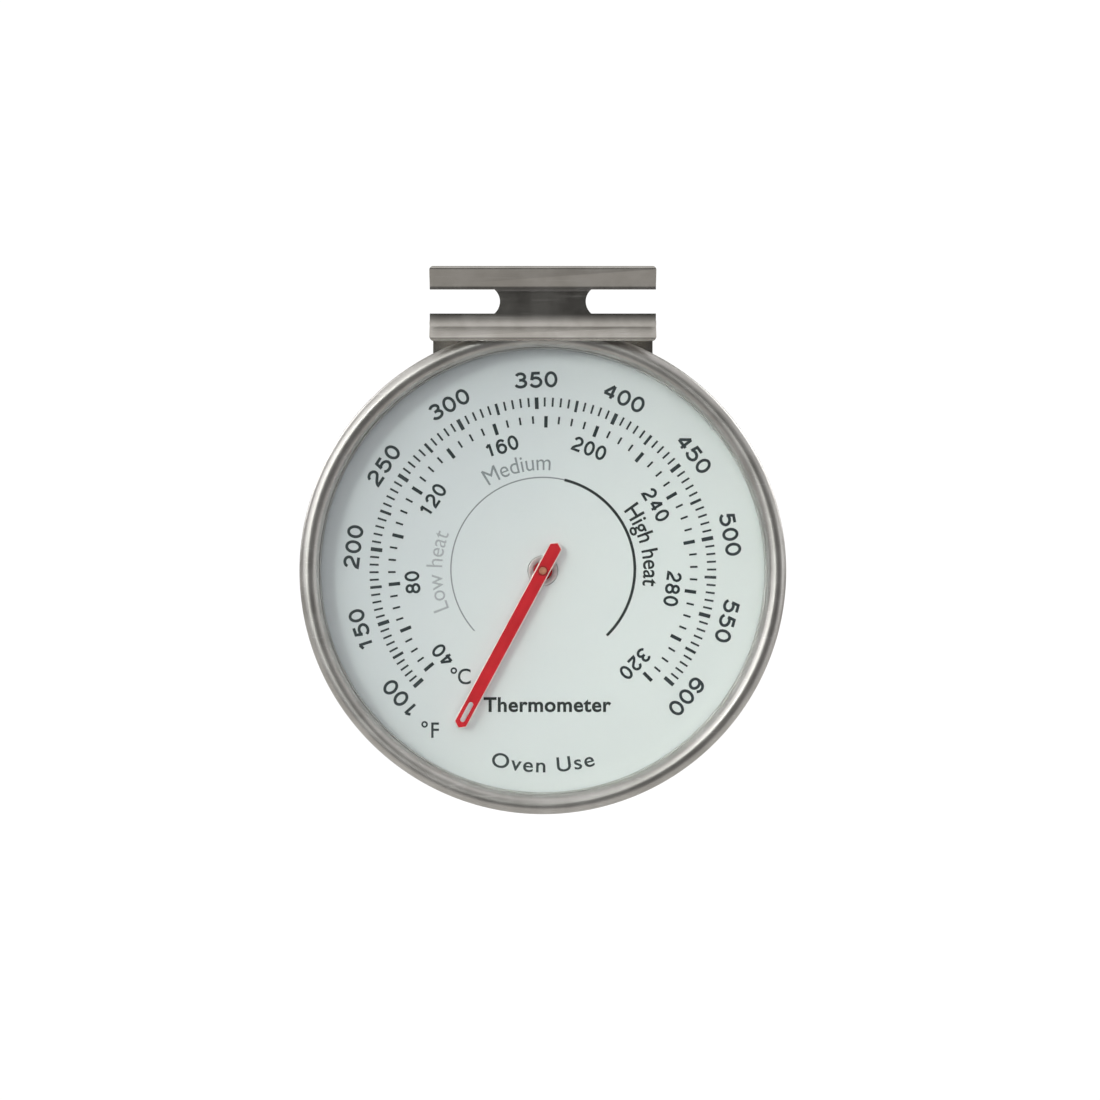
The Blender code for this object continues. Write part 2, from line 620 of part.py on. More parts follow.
def slot_outline(side):
    """Side slot, open at the clip's end, whose round inner end bites into the neck."""
    half_height = (SLOT_TOP - SLOT_BOTTOM) / 2
    middle = (SLOT_TOP + SLOT_BOTTOM) / 2
    spread = math.degrees(math.asin(half_height / SLOT_END_RADIUS))
    centre = (NECK_HALF_WIDTH + SLOT_END_RADIUS, middle)
    outline = arc(centre, SLOT_END_RADIUS, 180 - spread, 180 + spread, 10)
    outline += [(CLIP_HALF_WIDTH + 1, SLOT_BOTTOM), (CLIP_HALF_WIDTH + 1, SLOT_TOP)]
    return [(side * x, z) for x, z in outline]


def make_rack_clip():
    """Channel with two side slots for the rack's wires, and two feet folded back on the shelf."""
    half = HANGER_SHEET / 2
    upper_sine = math.sin(UPPER_TILT)
    lower_sine = math.sin(LOWER_TILT)
    start_z = UPPER_EDGE_Z - half * upper_sine
    upper_length = (start_z - WEB_TOP - UPPER_BEND * upper_sine) / math.cos(UPPER_TILT)
    start_y = CLIP_WEB - UPPER_BEND * (1 - math.cos(UPPER_TILT)) - upper_length * upper_sine
    lower_drop = WEB_BOTTOM - LOWER_EDGE_Z - (LOWER_BEND + half) * lower_sine
    down = -math.pi / 2
    moves = [("go", upper_length), ("bend", -UPPER_TILT, UPPER_BEND), ("go", WEB_TOP - WEB_BOTTOM)]
    moves += [("bend", -LOWER_TILT, LOWER_BEND), ("go", lower_drop / math.cos(LOWER_TILT))]
    section = bent_sheet((start_y, start_z), down + UPPER_TILT, moves, HANGER_SHEET)
    clip = prism_piece("rack_clip", section, -CLIP_HALF_WIDTH, CLIP_HALF_WIDTH, "X", SATIN_STEEL)

    reach = CLIP_HALF_WIDTH + 0.01
    low = LOWER_EDGE_Z - 0.01
    high = UPPER_EDGE_Z + 0.05
    outline = rounded_rectangle(-reach, low, reach, high, CLIP_CORNER, CLIP_CORNER)
    boolean(clip, prism_piece("keep_clip_outline", outline, *THROUGH_ALL, "Y"), "INTERSECT")
    for name, side in sides():
        slot = prism_piece(f"cut_slot_{name}", slot_outline(side), *THROUGH_ALL, "Y")
        boolean(clip, slot, "DIFFERENCE")
    foot_outline = [(CLIP_WEB, FOOT_BOTTOM), (FOOT_BACK, FOOT_BOTTOM)]
    foot_outline += [(FOOT_BACK, FOOT_TOP), (CLIP_WEB, FOOT_TOP)]
    for name, side in sides():
        ends = sorted((side * FOOT_INNER_X, side * FOOT_OUTER_X))
        boolean(clip, prism_piece(f"join_foot_{name}", foot_outline, *ends, "X"), "UNION")
    places = [upright_at(side * CLIP_RIVET_X, CLIP_RIVET_Y) for _, side in sides()]
    boolean(clip, countersink("cut_clip_feet", places, FOOT_TOP, FOOT_BOTTOM - 1), "DIFFERENCE")


def make_rivets():
    back = rivet_profile(PLATE_BACK, BACK_INNER - GAP)
    clip = rivet_profile(FOOT_TOP, SHELF_BOTTOM - GAP)
    for name, side in sides():
        back_place = at(side * HANGER_RIVET_X, HANGER_RIVET_Z)
        turned_piece(f"hanger_rivet_{name}", back, PIN_STEPS, SATIN_STEEL, back_place)
        clip_place = upright_at(side * CLIP_RIVET_X, CLIP_RIVET_Y)
        turned_piece(f"clip_rivet_{name}", clip, PIN_STEPS, SATIN_STEEL, clip_place)


# ---------------------------------------------------------------- assembly

def main():
    clear_scene()
    make_case_cup()
    make_bezel_ring()
    make_window_stack()
    axis = bpy.data.objects.new("pointer_axis", None)
    bpy.context.scene.collection.objects.link(axis)
    axis.rotation_euler.y = COLD_READING
    make_pointer(axis)
    make_bimetal_coil()
    make_coil_anchor()
    make_bridge()
    make_bushes()
    make_hanger_plate()
    make_rack_clip()
    make_rivets()


main()
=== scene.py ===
"""Dial oven thermometer: the finished surfaces, the dial's printing, the materials and the studio.

Lengths in this file are millimetres unless a name ends in _M. Shapes are drawn in the CAD's frame,
but with y counted from the dial's face, as the CAD source does; to_object turns them into metres.
Angles on the dial are degrees clockwise from twelve o'clock, as the reader sees it.
"""

from math import asin, cos, degrees, dist, pi, radians, sin

import bmesh
import bpy
from mathutils import Matrix, Vector


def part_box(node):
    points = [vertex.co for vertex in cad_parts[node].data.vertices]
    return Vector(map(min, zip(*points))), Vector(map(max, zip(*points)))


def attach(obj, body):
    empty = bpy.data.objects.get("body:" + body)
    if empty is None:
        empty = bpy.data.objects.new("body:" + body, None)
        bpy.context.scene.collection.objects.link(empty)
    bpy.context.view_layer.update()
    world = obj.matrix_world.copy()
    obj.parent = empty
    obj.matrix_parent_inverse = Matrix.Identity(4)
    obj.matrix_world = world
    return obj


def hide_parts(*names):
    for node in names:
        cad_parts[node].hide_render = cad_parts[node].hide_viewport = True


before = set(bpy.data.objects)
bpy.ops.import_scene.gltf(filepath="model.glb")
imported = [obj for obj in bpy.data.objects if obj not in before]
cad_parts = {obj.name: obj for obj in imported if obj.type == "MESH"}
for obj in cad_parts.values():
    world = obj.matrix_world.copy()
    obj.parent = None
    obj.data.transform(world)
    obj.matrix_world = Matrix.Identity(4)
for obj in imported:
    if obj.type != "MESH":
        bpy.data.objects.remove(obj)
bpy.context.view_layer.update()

MM = 0.001
FACE_Y_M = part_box("dial_plate")[0].y  # the dial's face in the CAD's frame


def cad_radius(node):
    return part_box(node)[1].x / MM


def cad_levels(node):
    """Front and back of a CAD node along y, counted from the dial's face."""
    low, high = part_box(node)
    return (low.y - FACE_Y_M) / MM, (high.y - FACE_Y_M) / MM


# ---------------- dimensions

GAP = 0.3  # room between two pieces that rest on each other
PIN_GAP = 0.15  # room around a fastener in its hole
EDGE = 0.08  # rounding of a sheared or turned edge
SHARP_ANGLE = 35  # edges that turn by more than this are not smooth
RING_STEPS = 256  # facets around the bezel
DISC_STEPS = 192  # around the other large round pieces
PIN_STEPS = 48  # around the small round pieces
SIDES = (("left", -1), ("right", 1))

CASE_SHEET = 0.6
BEZEL_SHEET = 0.45
LIP_RADIUS = 37.95  # inner edge of the bezel's lip
LIP_ANGLE = 75  # where the bead ends, from its front towards the axis
BEAD_RADIUS = 1.6
BEZEL_RADIUS = cad_radius("bezel_ring")
BEZEL_FRONT, CRIMP_BACK = cad_levels("bezel_ring")
BEAD_CENTRE = BEZEL_FRONT + BEAD_RADIUS
CRIMP_FRONT = CRIMP_BACK - BEZEL_SHEET
FLANGE_RADIUS = cad_radius("case_cup")
FLANGE_FRONT, CASE_BACK = cad_levels("case_cup")
FLANGE_BACK = FLANGE_FRONT + CASE_SHEET
LENS_RADIUS = cad_radius("lens")
LENS_FRONT, LENS_BACK = cad_levels("lens")
SPACER_INNER = 37.9
SPACER_FRONT, SPACER_BACK = cad_levels("spacer_ring")
DIAL_RADIUS = cad_radius("dial_plate")
DIAL_THICKNESS = 0.5
DIAL_HOLE_RADIUS = 2.62
CASE_FRONT_INNER = DIAL_RADIUS + GAP
CASE_FRONT_OUTER = CASE_FRONT_INNER + CASE_SHEET
CASE_REAR_INNER = 36.9
CASE_REAR_OUTER = CASE_REAR_INNER + CASE_SHEET
LEDGE_FRONT = DIAL_THICKNESS + GAP
LEDGE_BACK = LEDGE_FRONT + CASE_SHEET
BACK_INNER = CASE_BACK - CASE_SHEET
VENT_COUNT = 8
VENT_RING_RADIUS = 27.0
VENT_RADIUS = 2.0

SHAFT_RADIUS = 0.63
CENTRE_MARK = (0.24, 0.14)  # radius and depth, in the shaft's end
BORE_RADIUS = 0.75
HUB_RADIUS = 1.63
HUB_BACK = 0.6
COLLAR_RADIUS = 0.88  # of the hub's spigot, pressed through the blade
POINTER_FRONT = -2.6
POINTER_BACK = -2.2
COLLAR_FRONT = POINTER_FRONT + 0.03
POINTER_HALF_WIDTH = 1.2
BARE_EDGE_WIDTH = 0.17  # of the blade's unpainted chamfer
POINTER_TIP = 30.53
POINTER_TIP_CORNER = 29.67
POINTER_TAIL = 5.52
POINTER_TAIL_CORNER = 4.77
WINDOW = (25.87, 28.81)  # centres of its round ends
WINDOW_HALF_WIDTH = 0.41
COLD_READING = 208.3  # where the pointer stands at rest
BRIDGE_FRONT = 2.0
BRIDGE_BACK = 2.8
COLLET_RADIUS = 2.0
FRONT_BUSH_RADIUS = 1.7
FRONT_BUSH_FLANGE = 2.6
FRONT_BUSH_BACK = 3.6
DISH_FRONT = 0.7  # of the hollow in the front bush, under the hub
DISH_FLOOR = 1.2
WASHER_FRONT = FRONT_BUSH_BACK + GAP
WASHER_BACK = 4.2
REAR_BUSH_RADIUS = 2.0
REAR_BUSH_FLANGE = 3.0
REAR_BUSH_FRONT = 7.9
REAR_BORE_FLOOR = 9.0
STANDOFF_X = 18.0
STANDOFF_RADIUS = 2.0
SCREW_HOLE = (0.95, 6.5)  # radius and floor, in a standoff
PIN_RADIUS = 1.0
SWAGE_RADIUS = 1.7
SWAGE_BACK = 10.1
ANCHOR_RING_RADIUS = 13.0
ANCHOR_ANGLE = radians(-60)

HANGER_SHEET = 0.8
PLATE_FRONT = CASE_BACK + GAP
PLATE_BACK = PLATE_FRONT + HANGER_SHEET
PLATE_HALF_WIDTH = 19.2
PLATE_BOTTOM = -8.0
PLATE_BEND = 1.2
TONGUE_HALF_WIDTH = 10.0  # of the plate's tapered lower end
TONGUE_CORNER = 5.0
TAPER_BOTTOM = 6.0
TAPER_TOP = 26.0
SHELF_BOTTOM = BEZEL_RADIUS + GAP
CLIP_HALF_WIDTH = 19.1
CLIP_WEB = -7.0  # y of the middle of the clip's upright sheet
CLIP_CORNER = 0.9
CLIP_EDGE = 0.16
SHELF_FRONT = CLIP_WEB + HANGER_SHEET / 2 + 0.4
UPPER_BEND = 2.4  # radius of the sheet's middle
LOWER_BEND = 4.0
UPPER_TILT = radians(35)
LOWER_TILT = radians(40)
UPPER_EDGE_Z = 51.35
LOWER_EDGE_Z = 38.6
WEB_TOP = 46.95  # where the clip's flat sheet starts to bend
WEB_BOTTOM = 43.37
SLOT_TOP = 47.55
SLOT_BOTTOM = 43.45
SLOT_END_RADIUS = 2.72
NECK_HALF_WIDTH = 7.25
FOOT_INNER_X = 8.8
FOOT_OUTER_X = 18.6
FOOT_BACK = -1.8
FOOT_TOP = SLOT_BOTTOM - 0.02  # just under the slot, so the two cuts stay apart
FOOT_BOTTOM = SLOT_BOTTOM - HANGER_SHEET
HANGER_RIVET = (10.0, 22.0)  # x and z
CLIP_RIVET = (13.6, -3.8)  # x and y
RIVET_RADIUS = 0.9
RIVET_HEAD_RADIUS = 1.7
RIVET_SINK = 0.5
RIVET_TAIL = 0.6
THROUGH_ALL = (-20, 20)  # y of a cutter that passes the whole hanger
BEYOND = 1.0  # how far a cutter stands out of what it cuts
CENTRE = Matrix.Identity(4)  # the place of a piece on the pointer's axis


# ---------------- mesh helpers

def add_object(name, data):
    obj = bpy.data.objects.new(name, data)
    bpy.context.scene.collection.objects.link(obj)
    return obj


def to_object(name, bm):
    """Turn a bmesh in millimetres, y from the dial's face, into an object in the CAD's frame."""
    bmesh.ops.recalc_face_normals(bm, faces=bm.faces)
    bmesh.ops.scale(bm, vec=(MM, MM, MM), verts=bm.verts)
    bmesh.ops.translate(bm, vec=(0, FACE_Y_M, 0), verts=bm.verts)
    mesh = bpy.data.meshes.new(name)
    bm.to_mesh(mesh)
    bm.free()
    mesh.shade_smooth()
    mesh.set_sharp_from_angle(angle=radians(SHARP_ANGLE))
    return add_object(name, mesh)


def finish_piece(obj, body, finish, node=None):
    """Give a piece the material of its finish and its body, and hide the CAD node that it stands for.

    Weighted normals keep its flat faces flat right up to their rounded edges.
    """
    slot, material = finish
    obj.data.materials.clear()
    obj.data.materials.append(material)
    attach(obj, body)
    if node:
        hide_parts(node)
    if "bevel" not in obj.modifiers:
        normals = obj.modifiers.new("normals", "WEIGHTED_NORMAL")
        normals.keep_sharp = True


def bow(centre, radii, start, end, steps):
    """Points of part of an ellipse, with angles in degrees from the first axis towards the second."""
    points = []
    for i in range(steps + 1):
        angle = radians(start + (end - start) * i / steps)
        points.append((centre[0] + radii[0] * cos(angle), centre[1] + radii[1] * sin(angle)))
    return points


def arc(centre, radius, start, end, steps):
    return bow(centre, (radius, radius), start, end, steps)


def rounded(outline, radius=EDGE, steps=3):
    """Round each corner of a closed outline; corners that turn under 20 degrees stay as they are."""
    result = []
    count = len(outline)
    for i in range(count):
        corner = Vector(outline[i])
        before = Vector(outline[i - 1]) - corner
        after = Vector(outline[(i + 1) % count]) - corner
        straight = before.length < 1e-6 or after.length < 1e-6
        on_axis = corner.x == 0 and (before.x == 0 or after.x == 0)
        if straight or on_axis or before.angle(after) > radians(160):
            result.append(tuple(corner))
            continue
        reach = min(radius, before.length * 0.45, after.length * 0.45)
        start = corner + before.normalized() * reach
        end = corner + after.normalized() * reach
        for k in range(steps + 1):
            t = k / steps
            point = start * (1 - t) ** 2 + corner * 2 * t * (1 - t) + end * t ** 2
            result.append(tuple(point))
    return result


def turned(bm, profile, steps, place=CENTRE):
    """Turn a closed profile of (radius, y) points about Y; a point at radius 0 is a pole."""
    rings = []
    for radius, y in profile:
        if radius == 0:
            rings.append([bm.verts.new(place @ Vector((0, y, 0)))])
            continue
        ring = []
        for i in range(steps):
            angle = 2 * pi * i / steps
            point = Vector((radius * cos(angle), y, radius * sin(angle)))
            ring.append(bm.verts.new(place @ point))
        rings.append(ring)
    for k, ring in enumerate(rings):
        following = rings[(k + 1) % len(rings)]
        if len(ring) == 1 and len(following) == 1:
            continue
        for i in range(steps):
            j = (i + 1) % steps
            corners = [ring[i % len(ring)], ring[j % len(ring)]]
            corners += [following[j % len(following)], following[i % len(following)]]
            bm.faces.new(list(dict.fromkeys(corners)))


def turned_object(name, profile, steps=PIN_STEPS, place=CENTRE, edge=EDGE):
    bm = bmesh.new()
    turned(bm, rounded(profile, edge), steps, place)
    return to_object(name, bm)


def turned_piece(node, profile, finish, body="case", **shape):
    """Draw a round CAD node again, with rounded edges."""
    finish_piece(turned_object(node + "_finished", profile, **shape), body, finish, node)


def skinned_object(name, rings):
    """Skin closed rings of points that have the same number of points, and close both ends."""
    bm = bmesh.new()
    rings = [[bm.verts.new(point) for point in ring] for ring in rings]
    bm.faces.new(rings[0])
    bm.faces.new(rings[-1])
    for ring, following in zip(rings, rings[1:]):
        for i in range(len(ring)):
            j = (i + 1) % len(ring)
            bm.faces.new((ring[i], ring[j], following[j], following[i]))
    return to_object(name, bm)


def prism_object(name, outline, low, high, axis):
    """Extrude an outline from low to high along axis X, with (y, z) points, or Y, with (x, z)."""
    if axis == "X":
        return skinned_object(name, [[(level, y, z) for y, z in outline] for level in (low, high)])
    return stacked_object(name, [(low, outline), (high, outline)])


def stacked_object(name, levels):
    """Skin outlines of (x, z) points, each at its own y."""
    return skinned_object(name, [[(x, y, z) for x, z in outline] for y, outline in levels])


def inset(outline, distance):
    """Move every side of a convex outline inwards by a distance."""
    result = []
    for before, corner, after in zip(outline[-1:] + outline[:-1], outline, outline[1:] + outline[:1]):
        back = (Vector(before) - Vector(corner)).normalized()
        forth = (Vector(after) - Vector(corner)).normalized()
        reach = distance / sin(back.angle(forth) / 2)
        result.append(tuple(Vector(corner) + (back + forth).normalized() * reach))
    return result


def turned_cutter(name, profile, places):
    bm = bmesh.new()
    half_step = Matrix.Rotation(pi / PIN_STEPS, 4, "Y")
    for place in places:
        turned(bm, profile, PIN_STEPS, place @ half_step)
    return to_object(name, bm)


def drill(name, places, radius, low, high):
    return turned_cutter(name, [(0, low), (radius, low), (radius, high), (0, high)], places)


def evaluated_mesh(obj):
    graph = bpy.context.evaluated_depsgraph_get()
    return bpy.data.meshes.new_from_object(obj.evaluated_get(graph))


def cut(obj, other, operation="DIFFERENCE"):
    """Apply one exact boolean and delete the other object."""
    modifier = obj.modifiers.new("cut", "BOOLEAN")
    modifier.operation = operation
    modifier.solver = "EXACT"
    modifier.object = other
    mesh = evaluated_mesh(obj)
    obj.modifiers.clear()
    obj.data = mesh
    bpy.data.objects.remove(other, do_unlink=True)


def bevel_edges(obj, width=EDGE):
    """Round the sharp edges; hardened normals keep the flat faces flat."""
    bevel = obj.modifiers.new("bevel", "BEVEL")
    bevel.width = width * MM
    bevel.segments = 2
    bevel.limit_method = "ANGLE"
    bevel.angle_limit = radians(SHARP_ANGLE)
    bevel.use_clamp_overlap = True
    bevel.harden_normals = True


def at(x, z):
    return Matrix.Translation((x, 0, z))


def upright_at(x, y):
    """A place whose local +Y points up along world +Z."""
    return Matrix.Translation((x, y, 0)) @ Matrix.Rotation(radians(90), 4, "X")


def on_both_sides(place, spot):
    return [place(side * spot[0], spot[1]) for _, side in SIDES]


def bent_sheet(start, heading, moves, thickness, steps=14):
    """Outline of a bent sheet in the (y, z) plane.

    heading is the angle from +y towards +z. A move is ("go", length), or ("bend", angle, radius)
    with a positive angle turning towards +z from +y; the radius is that of the sheet's middle.
    """
    y, z = start
    samples = [(y, z, heading)]
    for move in moves:
        if move[0] == "go":
            y += move[1] * cos(heading)
            z += move[1] * sin(heading)
            samples.append((y, z, heading))
            continue
        turn = move[1] / steps
        chord = 2 * move[2] * sin(abs(turn) / 2)
        for _ in range(steps):
            y += chord * cos(heading + turn / 2)
            z += chord * sin(heading + turn / 2)
            heading += turn
            samples.append((y, z, heading))
    half = thickness / 2
    one_side = [(y - half * sin(h), z + half * cos(h)) for y, z, h in samples]
    other_side = [(y + half * sin(h), z - half * cos(h)) for y, z, h in samples]
    return one_side + other_side[::-1]


def rounded_rectangle(x0, z0, x1, z1, corner, steps=10):
    centres = [(x1 - corner, z0 + corner), (x1 - corner, z1 - corner)]
    centres += [(x0 + corner, z1 - corner), (x0 + corner, z0 + corner)]
    outline = []
    for k, centre in enumerate(centres):
        outline += arc(centre, corner, 90 * k - 90, 90 * k, steps)
    return outline


# ---------------- material helpers

class Nodes:
    """A node tree, with one short call for each kind of node that is used here."""

    def __init__(self, owner, output, coordinates):
        owner.use_nodes = True
        self.tree = owner.node_tree
        self.output = self.tree.nodes[output]
        self.position = self.add("TexCoord").outputs[coordinates]

    def add(self, kind, inputs=None, **properties):
        """Add a node; inputs gives a value or a socket to each input, by its name or number."""
        node = self.tree.nodes.new("ShaderNode" + kind)
        for key, value in properties.items():
            setattr(node, key, value)
        for key, value in (inputs or {}).items():
            self.link(value, node.inputs[key])
        return node

    def link(self, source, target):
        if isinstance(source, bpy.types.NodeSocket):
            self.tree.links.new(source, target)
        else:
            target.default_value = source

    def math(self, operation, a, b=0.0, clamp=False):
        return self.add("Math", {0: a, 1: b}, operation=operation, use_clamp=clamp).outputs[0]

    def parts(self):
        """The x, y and z of the position, in metres."""
        return self.add("SeparateXYZ", {0: self.position}).outputs

    def vector(self, x, y, z):
        return self.add("CombineXYZ", {0: x, 1: y, 2: z}).outputs[0]

    def scaled(self, factors, turn=(0, 0, 0)):
        """The position turned by angles in degrees and then scaled on each axis."""
        turn = [radians(angle) for angle in turn]
        inputs = {"Vector": self.position, "Rotation": turn, "Scale": factors}
        return self.add("Mapping", inputs).outputs[0]

    def noise(self, vector, scale, detail, roughness=0.55):
        inputs = {"Vector": vector, "Scale": scale, "Detail": detail, "Roughness": roughness}
        return self.add("TexNoise", inputs).outputs["Fac"]

    def speckle(self, scale, detail):
        """Noise that looks the same in every direction."""
        return self.noise(self.position, scale, detail)

    def ramp(self, value, low, high, out_low=0.0, out_high=1.0, kind="SMOOTHSTEP"):
        inputs = {"Value": value, "From Min": low, "From Max": high, "To Min": out_low, "To Max": out_high}
        return self.add("MapRange", inputs, interpolation_type=kind).outputs["Result"]

    def mix(self, factor, first, second):
        inputs = {"Factor": factor, "A": first, "B": second}
        return self.add("Mix", inputs, data_type="RGBA").outputs["Result"]

    def bump(self, height, strength, distance_mm, normal=None):
        inputs = {"Height": height, "Strength": strength, "Distance": distance_mm * MM}
        if normal is not None:
            inputs["Normal"] = normal
        return self.add("Bump", inputs).outputs["Normal"]

    def shader(self, kind, colour, **inputs):
        return self.add(kind, {"Color": colour, **inputs}).outputs[0]

    def finish_with(self, usual, ray, special):
        """Show the usual shader, and a special one to one kind of ray."""
        is_ray = self.add("LightPath").outputs[ray]
        choose = self.add("MixShader", {0: is_ray, 1: usual, 2: special})
        self.link(choose.outputs[0], self.output.inputs["Surface"])


class Surface(Nodes):
    """A material with one principled shader."""

    def __init__(self, name):
        self.material = bpy.data.materials.new(name)
        super().__init__(self.material, "Material Output", "Object")
        self.principled = self.tree.nodes["Principled BSDF"]

    def set(self, **values):
        names = {"colour": "Base Color", "metallic": "Metallic", "roughness": "Roughness",
                 "normal": "Normal", "anisotropy": "Anisotropic", "tangent": "Tangent", "ior": "IOR",
                 "specular": "Specular IOR Level", "transmission": "Transmission Weight"}
        for key, value in values.items():
            self.link(value, self.principled.inputs[names[key]])
        return self.material


def grey(level, warmth=0.0):
    return (level * (1 + warmth), level, level * (1 - 1.6 * warmth), 1.0)


def brushed_steel(name, lay, level, warmth, roughness, wear, grain=1.0):
    """Satin stainless steel. lay is "ring" for lines around Y, or "x" for straight ones.

    wear is the strength of the scratches, and grain that of the brushing.
    """
    n = Surface(name)
    x, y, z = n.parts()
    radius = n.math("SQRT", n.math("ADD", n.math("MULTIPLY", x, x), n.math("MULTIPLY", z, z)))
    around = n.math("ARCTAN2", x, z)

    def ring_lines(across, along):
        return n.vector(n.math("MULTIPLY", radius, across), n.math("MULTIPLY", y, across),
                        n.math("MULTIPLY", around, along))

    if lay == "ring":
        lines = ring_lines(9000, 2.2)
        fine = ring_lines(26000, 9)
    else:
        lines = n.scaled((120, 9000, 9000))
        fine = n.scaled((400, 26000, 26000))
    coarse_grain = n.noise(lines, 1.0, 2.0)
    fine_grain = n.noise(fine, 1.0, 2.0)
    cloud = n.speckle(190, 3.0)

    scratches = 0.0
    scratch_families = ((38, (60, 1600, 2600)), (-24, (75, 1900, 3100)), (78, (95, 1700, 2900)))
    for turn, scale in scratch_families:
        streak = n.ramp(n.noise(n.scaled(scale, (0, turn, 0)), 1.0, 1.0, 0.4), 0.70, 0.76)
        scratches = n.math("MAXIMUM", streak, scratches)
    scratches = n.math("MULTIPLY", scratches, wear, clamp=True)

    cloudy = n.ramp(cloud, 0.3, 0.72)
    shade = n.mix(cloudy, grey(level * 0.86, warmth * 1.3), grey(level * 1.08, warmth))
    grooves = n.ramp(coarse_grain, 0.3, 0.75, 0.0, 0.35 * grain)
    shade = n.mix(grooves, shade, grey(level * 0.62, warmth * 1.5))
    bright = grey(min(0.95, level * 1.6), warmth * 0.3)
    shade = n.mix(n.math("MULTIPLY", scratches, 0.5), shade, bright)
    rough = n.ramp(coarse_grain, 0.3, 0.7, -0.05 * grain, 0.07 * grain)
    rough = n.math("ADD", rough, n.ramp(cloud, 0.3, 0.7, -0.02, 0.03))
    rough = n.math("ADD", rough, n.math("MULTIPLY", scratches, 0.1))
    rough = n.math("ADD", rough, roughness, clamp=True)
    normal = n.bump(fine_grain, 0.16 * grain, 0.012)
    normal = n.bump(coarse_grain, 0.22 * grain, 0.03, normal)
    normal = n.bump(scratches, 0.25, 0.01, normal)
    if lay == "ring":
        normal = n.bump(n.noise(ring_lines(1300, 1.5), 1.0, 1.0), 0.5, 0.05, normal)
        tangent = n.add("Tangent", direction_type="RADIAL", axis="Y").outputs[0]
        n.set(anisotropy=0.35, tangent=tangent)
    return n.set(colour=shade, metallic=1.0, roughness=rough, normal=normal)


def turned_metal(name, colour, roughness, metallic=1.0):
    """Small turned or rolled metal part: tool rings, a little tarnish and cloudy roughness."""
    n = Surface(name)
    tarnish = n.speckle(900, 4.0)
    rings = n.noise(n.scaled((9000, 15000, 9000)), 1.0, 2.0)
    dark = tuple(c * 0.55 for c in colour[:3]) + (1.0,)
    shade = n.mix(n.ramp(tarnish, 0.35, 0.8, 0.0, 0.6), colour, dark)
    rough = n.math("ADD", n.ramp(tarnish, 0.3, 0.7, -0.05, 0.12), roughness)
    return n.set(colour=shade, metallic=metallic, roughness=rough, normal=n.bump(rings, 0.12, 0.01))


def clear_glass():
    """Glass with a faint green tint; lamps shine through it, and its faces mirror the room."""
    n = Surface("clear_glass")
    smears = n.noise(n.scaled((1, 1, 1.6), (0, 25, 0)), 70, 4.0)
    dust = n.ramp(n.speckle(5200, 1.0), 0.74, 0.80)
    rough = n.math("ADD", n.ramp(smears, 0.5, 0.75, 0.0, 0.02), n.math("MULTIPLY", dust, 0.05))
    n.set(colour=(0.985, 0.995, 0.99, 1), roughness=rough, ior=1.5, transmission=1.0)
    clear = n.shader("BsdfTransparent", (0.93, 0.95, 0.94, 1))
    n.finish_with(n.principled.outputs[0], "Is Shadow Ray", clear)
    return n.material


def dial_coat():
    """Matt silver-white anodised dial with a fine grain, and painted shade: darker and bluer towards its
    upper left, lighter towards its lower right.
    """
    n = Surface("dial_anodised")
    x, _, z = n.parts()
    # painted shade and painted light: the colour runs from dark at the upper left to light at the lower
    # right, with a little random tone
    painted_shading_slope = n.math("ADD", n.math("MULTIPLY", x, 15.5), n.math("MULTIPLY", z, -8.5))
    painted_shading_slope = n.math("ADD", painted_shading_slope, n.ramp(n.speckle(40, 2.0), 0.3, 0.7, -0.05, 0.05))
    shade = n.mix(n.ramp(painted_shading_slope, -0.7, 0.6), (0.67, 0.705, 0.72, 1), (0.83, 0.875, 0.855, 1))
    grain = n.speckle(22000, 2.0)
    shade = n.mix(n.ramp(grain, 0.35, 0.65, 0.0, 0.06), shade, (0.45, 0.47, 0.48, 1))
    rough = n.ramp(grain, 0.3, 0.7, 0.5, 0.62)
    normal = n.bump(grain, 0.12, 0.01)
    return n.set(colour=shade, metallic=0.0, roughness=rough, specular=0.25, normal=normal)


def print_ink(name, colour):
    """Screen-printed ink: almost even, with a faint edge-to-edge mottling and a low sheen."""
    n = Surface(name)
    mottle = n.speckle(3500, 3.0)
    light = tuple(min(1.0, c * 1.35) for c in colour) + (1.0,)
    shade = n.mix(n.ramp(mottle, 0.35, 0.75, 0.0, 0.5), colour + (1.0,), light)
    rough = n.ramp(mottle, 0.3, 0.7, 0.4, 0.55)
    return "dial_enamel", n.set(colour=shade, roughness=rough, normal=n.bump(mottle, 0.1, 0.01))


def red_paint(name, level):
    """Satin crimson paint with a slight orange peel; level scales its brightness, and a level under 1
    paints shade on it.
    """
    n = Surface(name)
    peel = n.speckle(2600, 2.0)
    tone = n.speckle(300, 3.0)
    bright = (0.62 * level, 0.014 * level, 0.025 * level, 1)
    deep = (0.53 * level, 0.010 * level, 0.018 * level, 1)
    shade = n.mix(n.ramp(tone, 0.3, 0.7), bright, deep)
    rough = n.ramp(tone, 0.3, 0.7, 0.36, 0.46)
    return n.set(colour=shade, roughness=rough, specular=0.3, normal=n.bump(peel, 0.08, 0.02))


def silicone():
    n = Surface("silicone_red")
    speck = n.speckle(2500, 4.0)
    shade = n.mix(n.ramp(speck, 0.35, 0.7), (0.17, 0.035, 0.022, 1), (0.11, 0.022, 0.016, 1))
    rough = n.ramp(speck, 0.3, 0.7, 0.5, 0.7)
    return n.set(colour=shade, roughness=rough, normal=n.bump(speck, 0.2, 0.03))


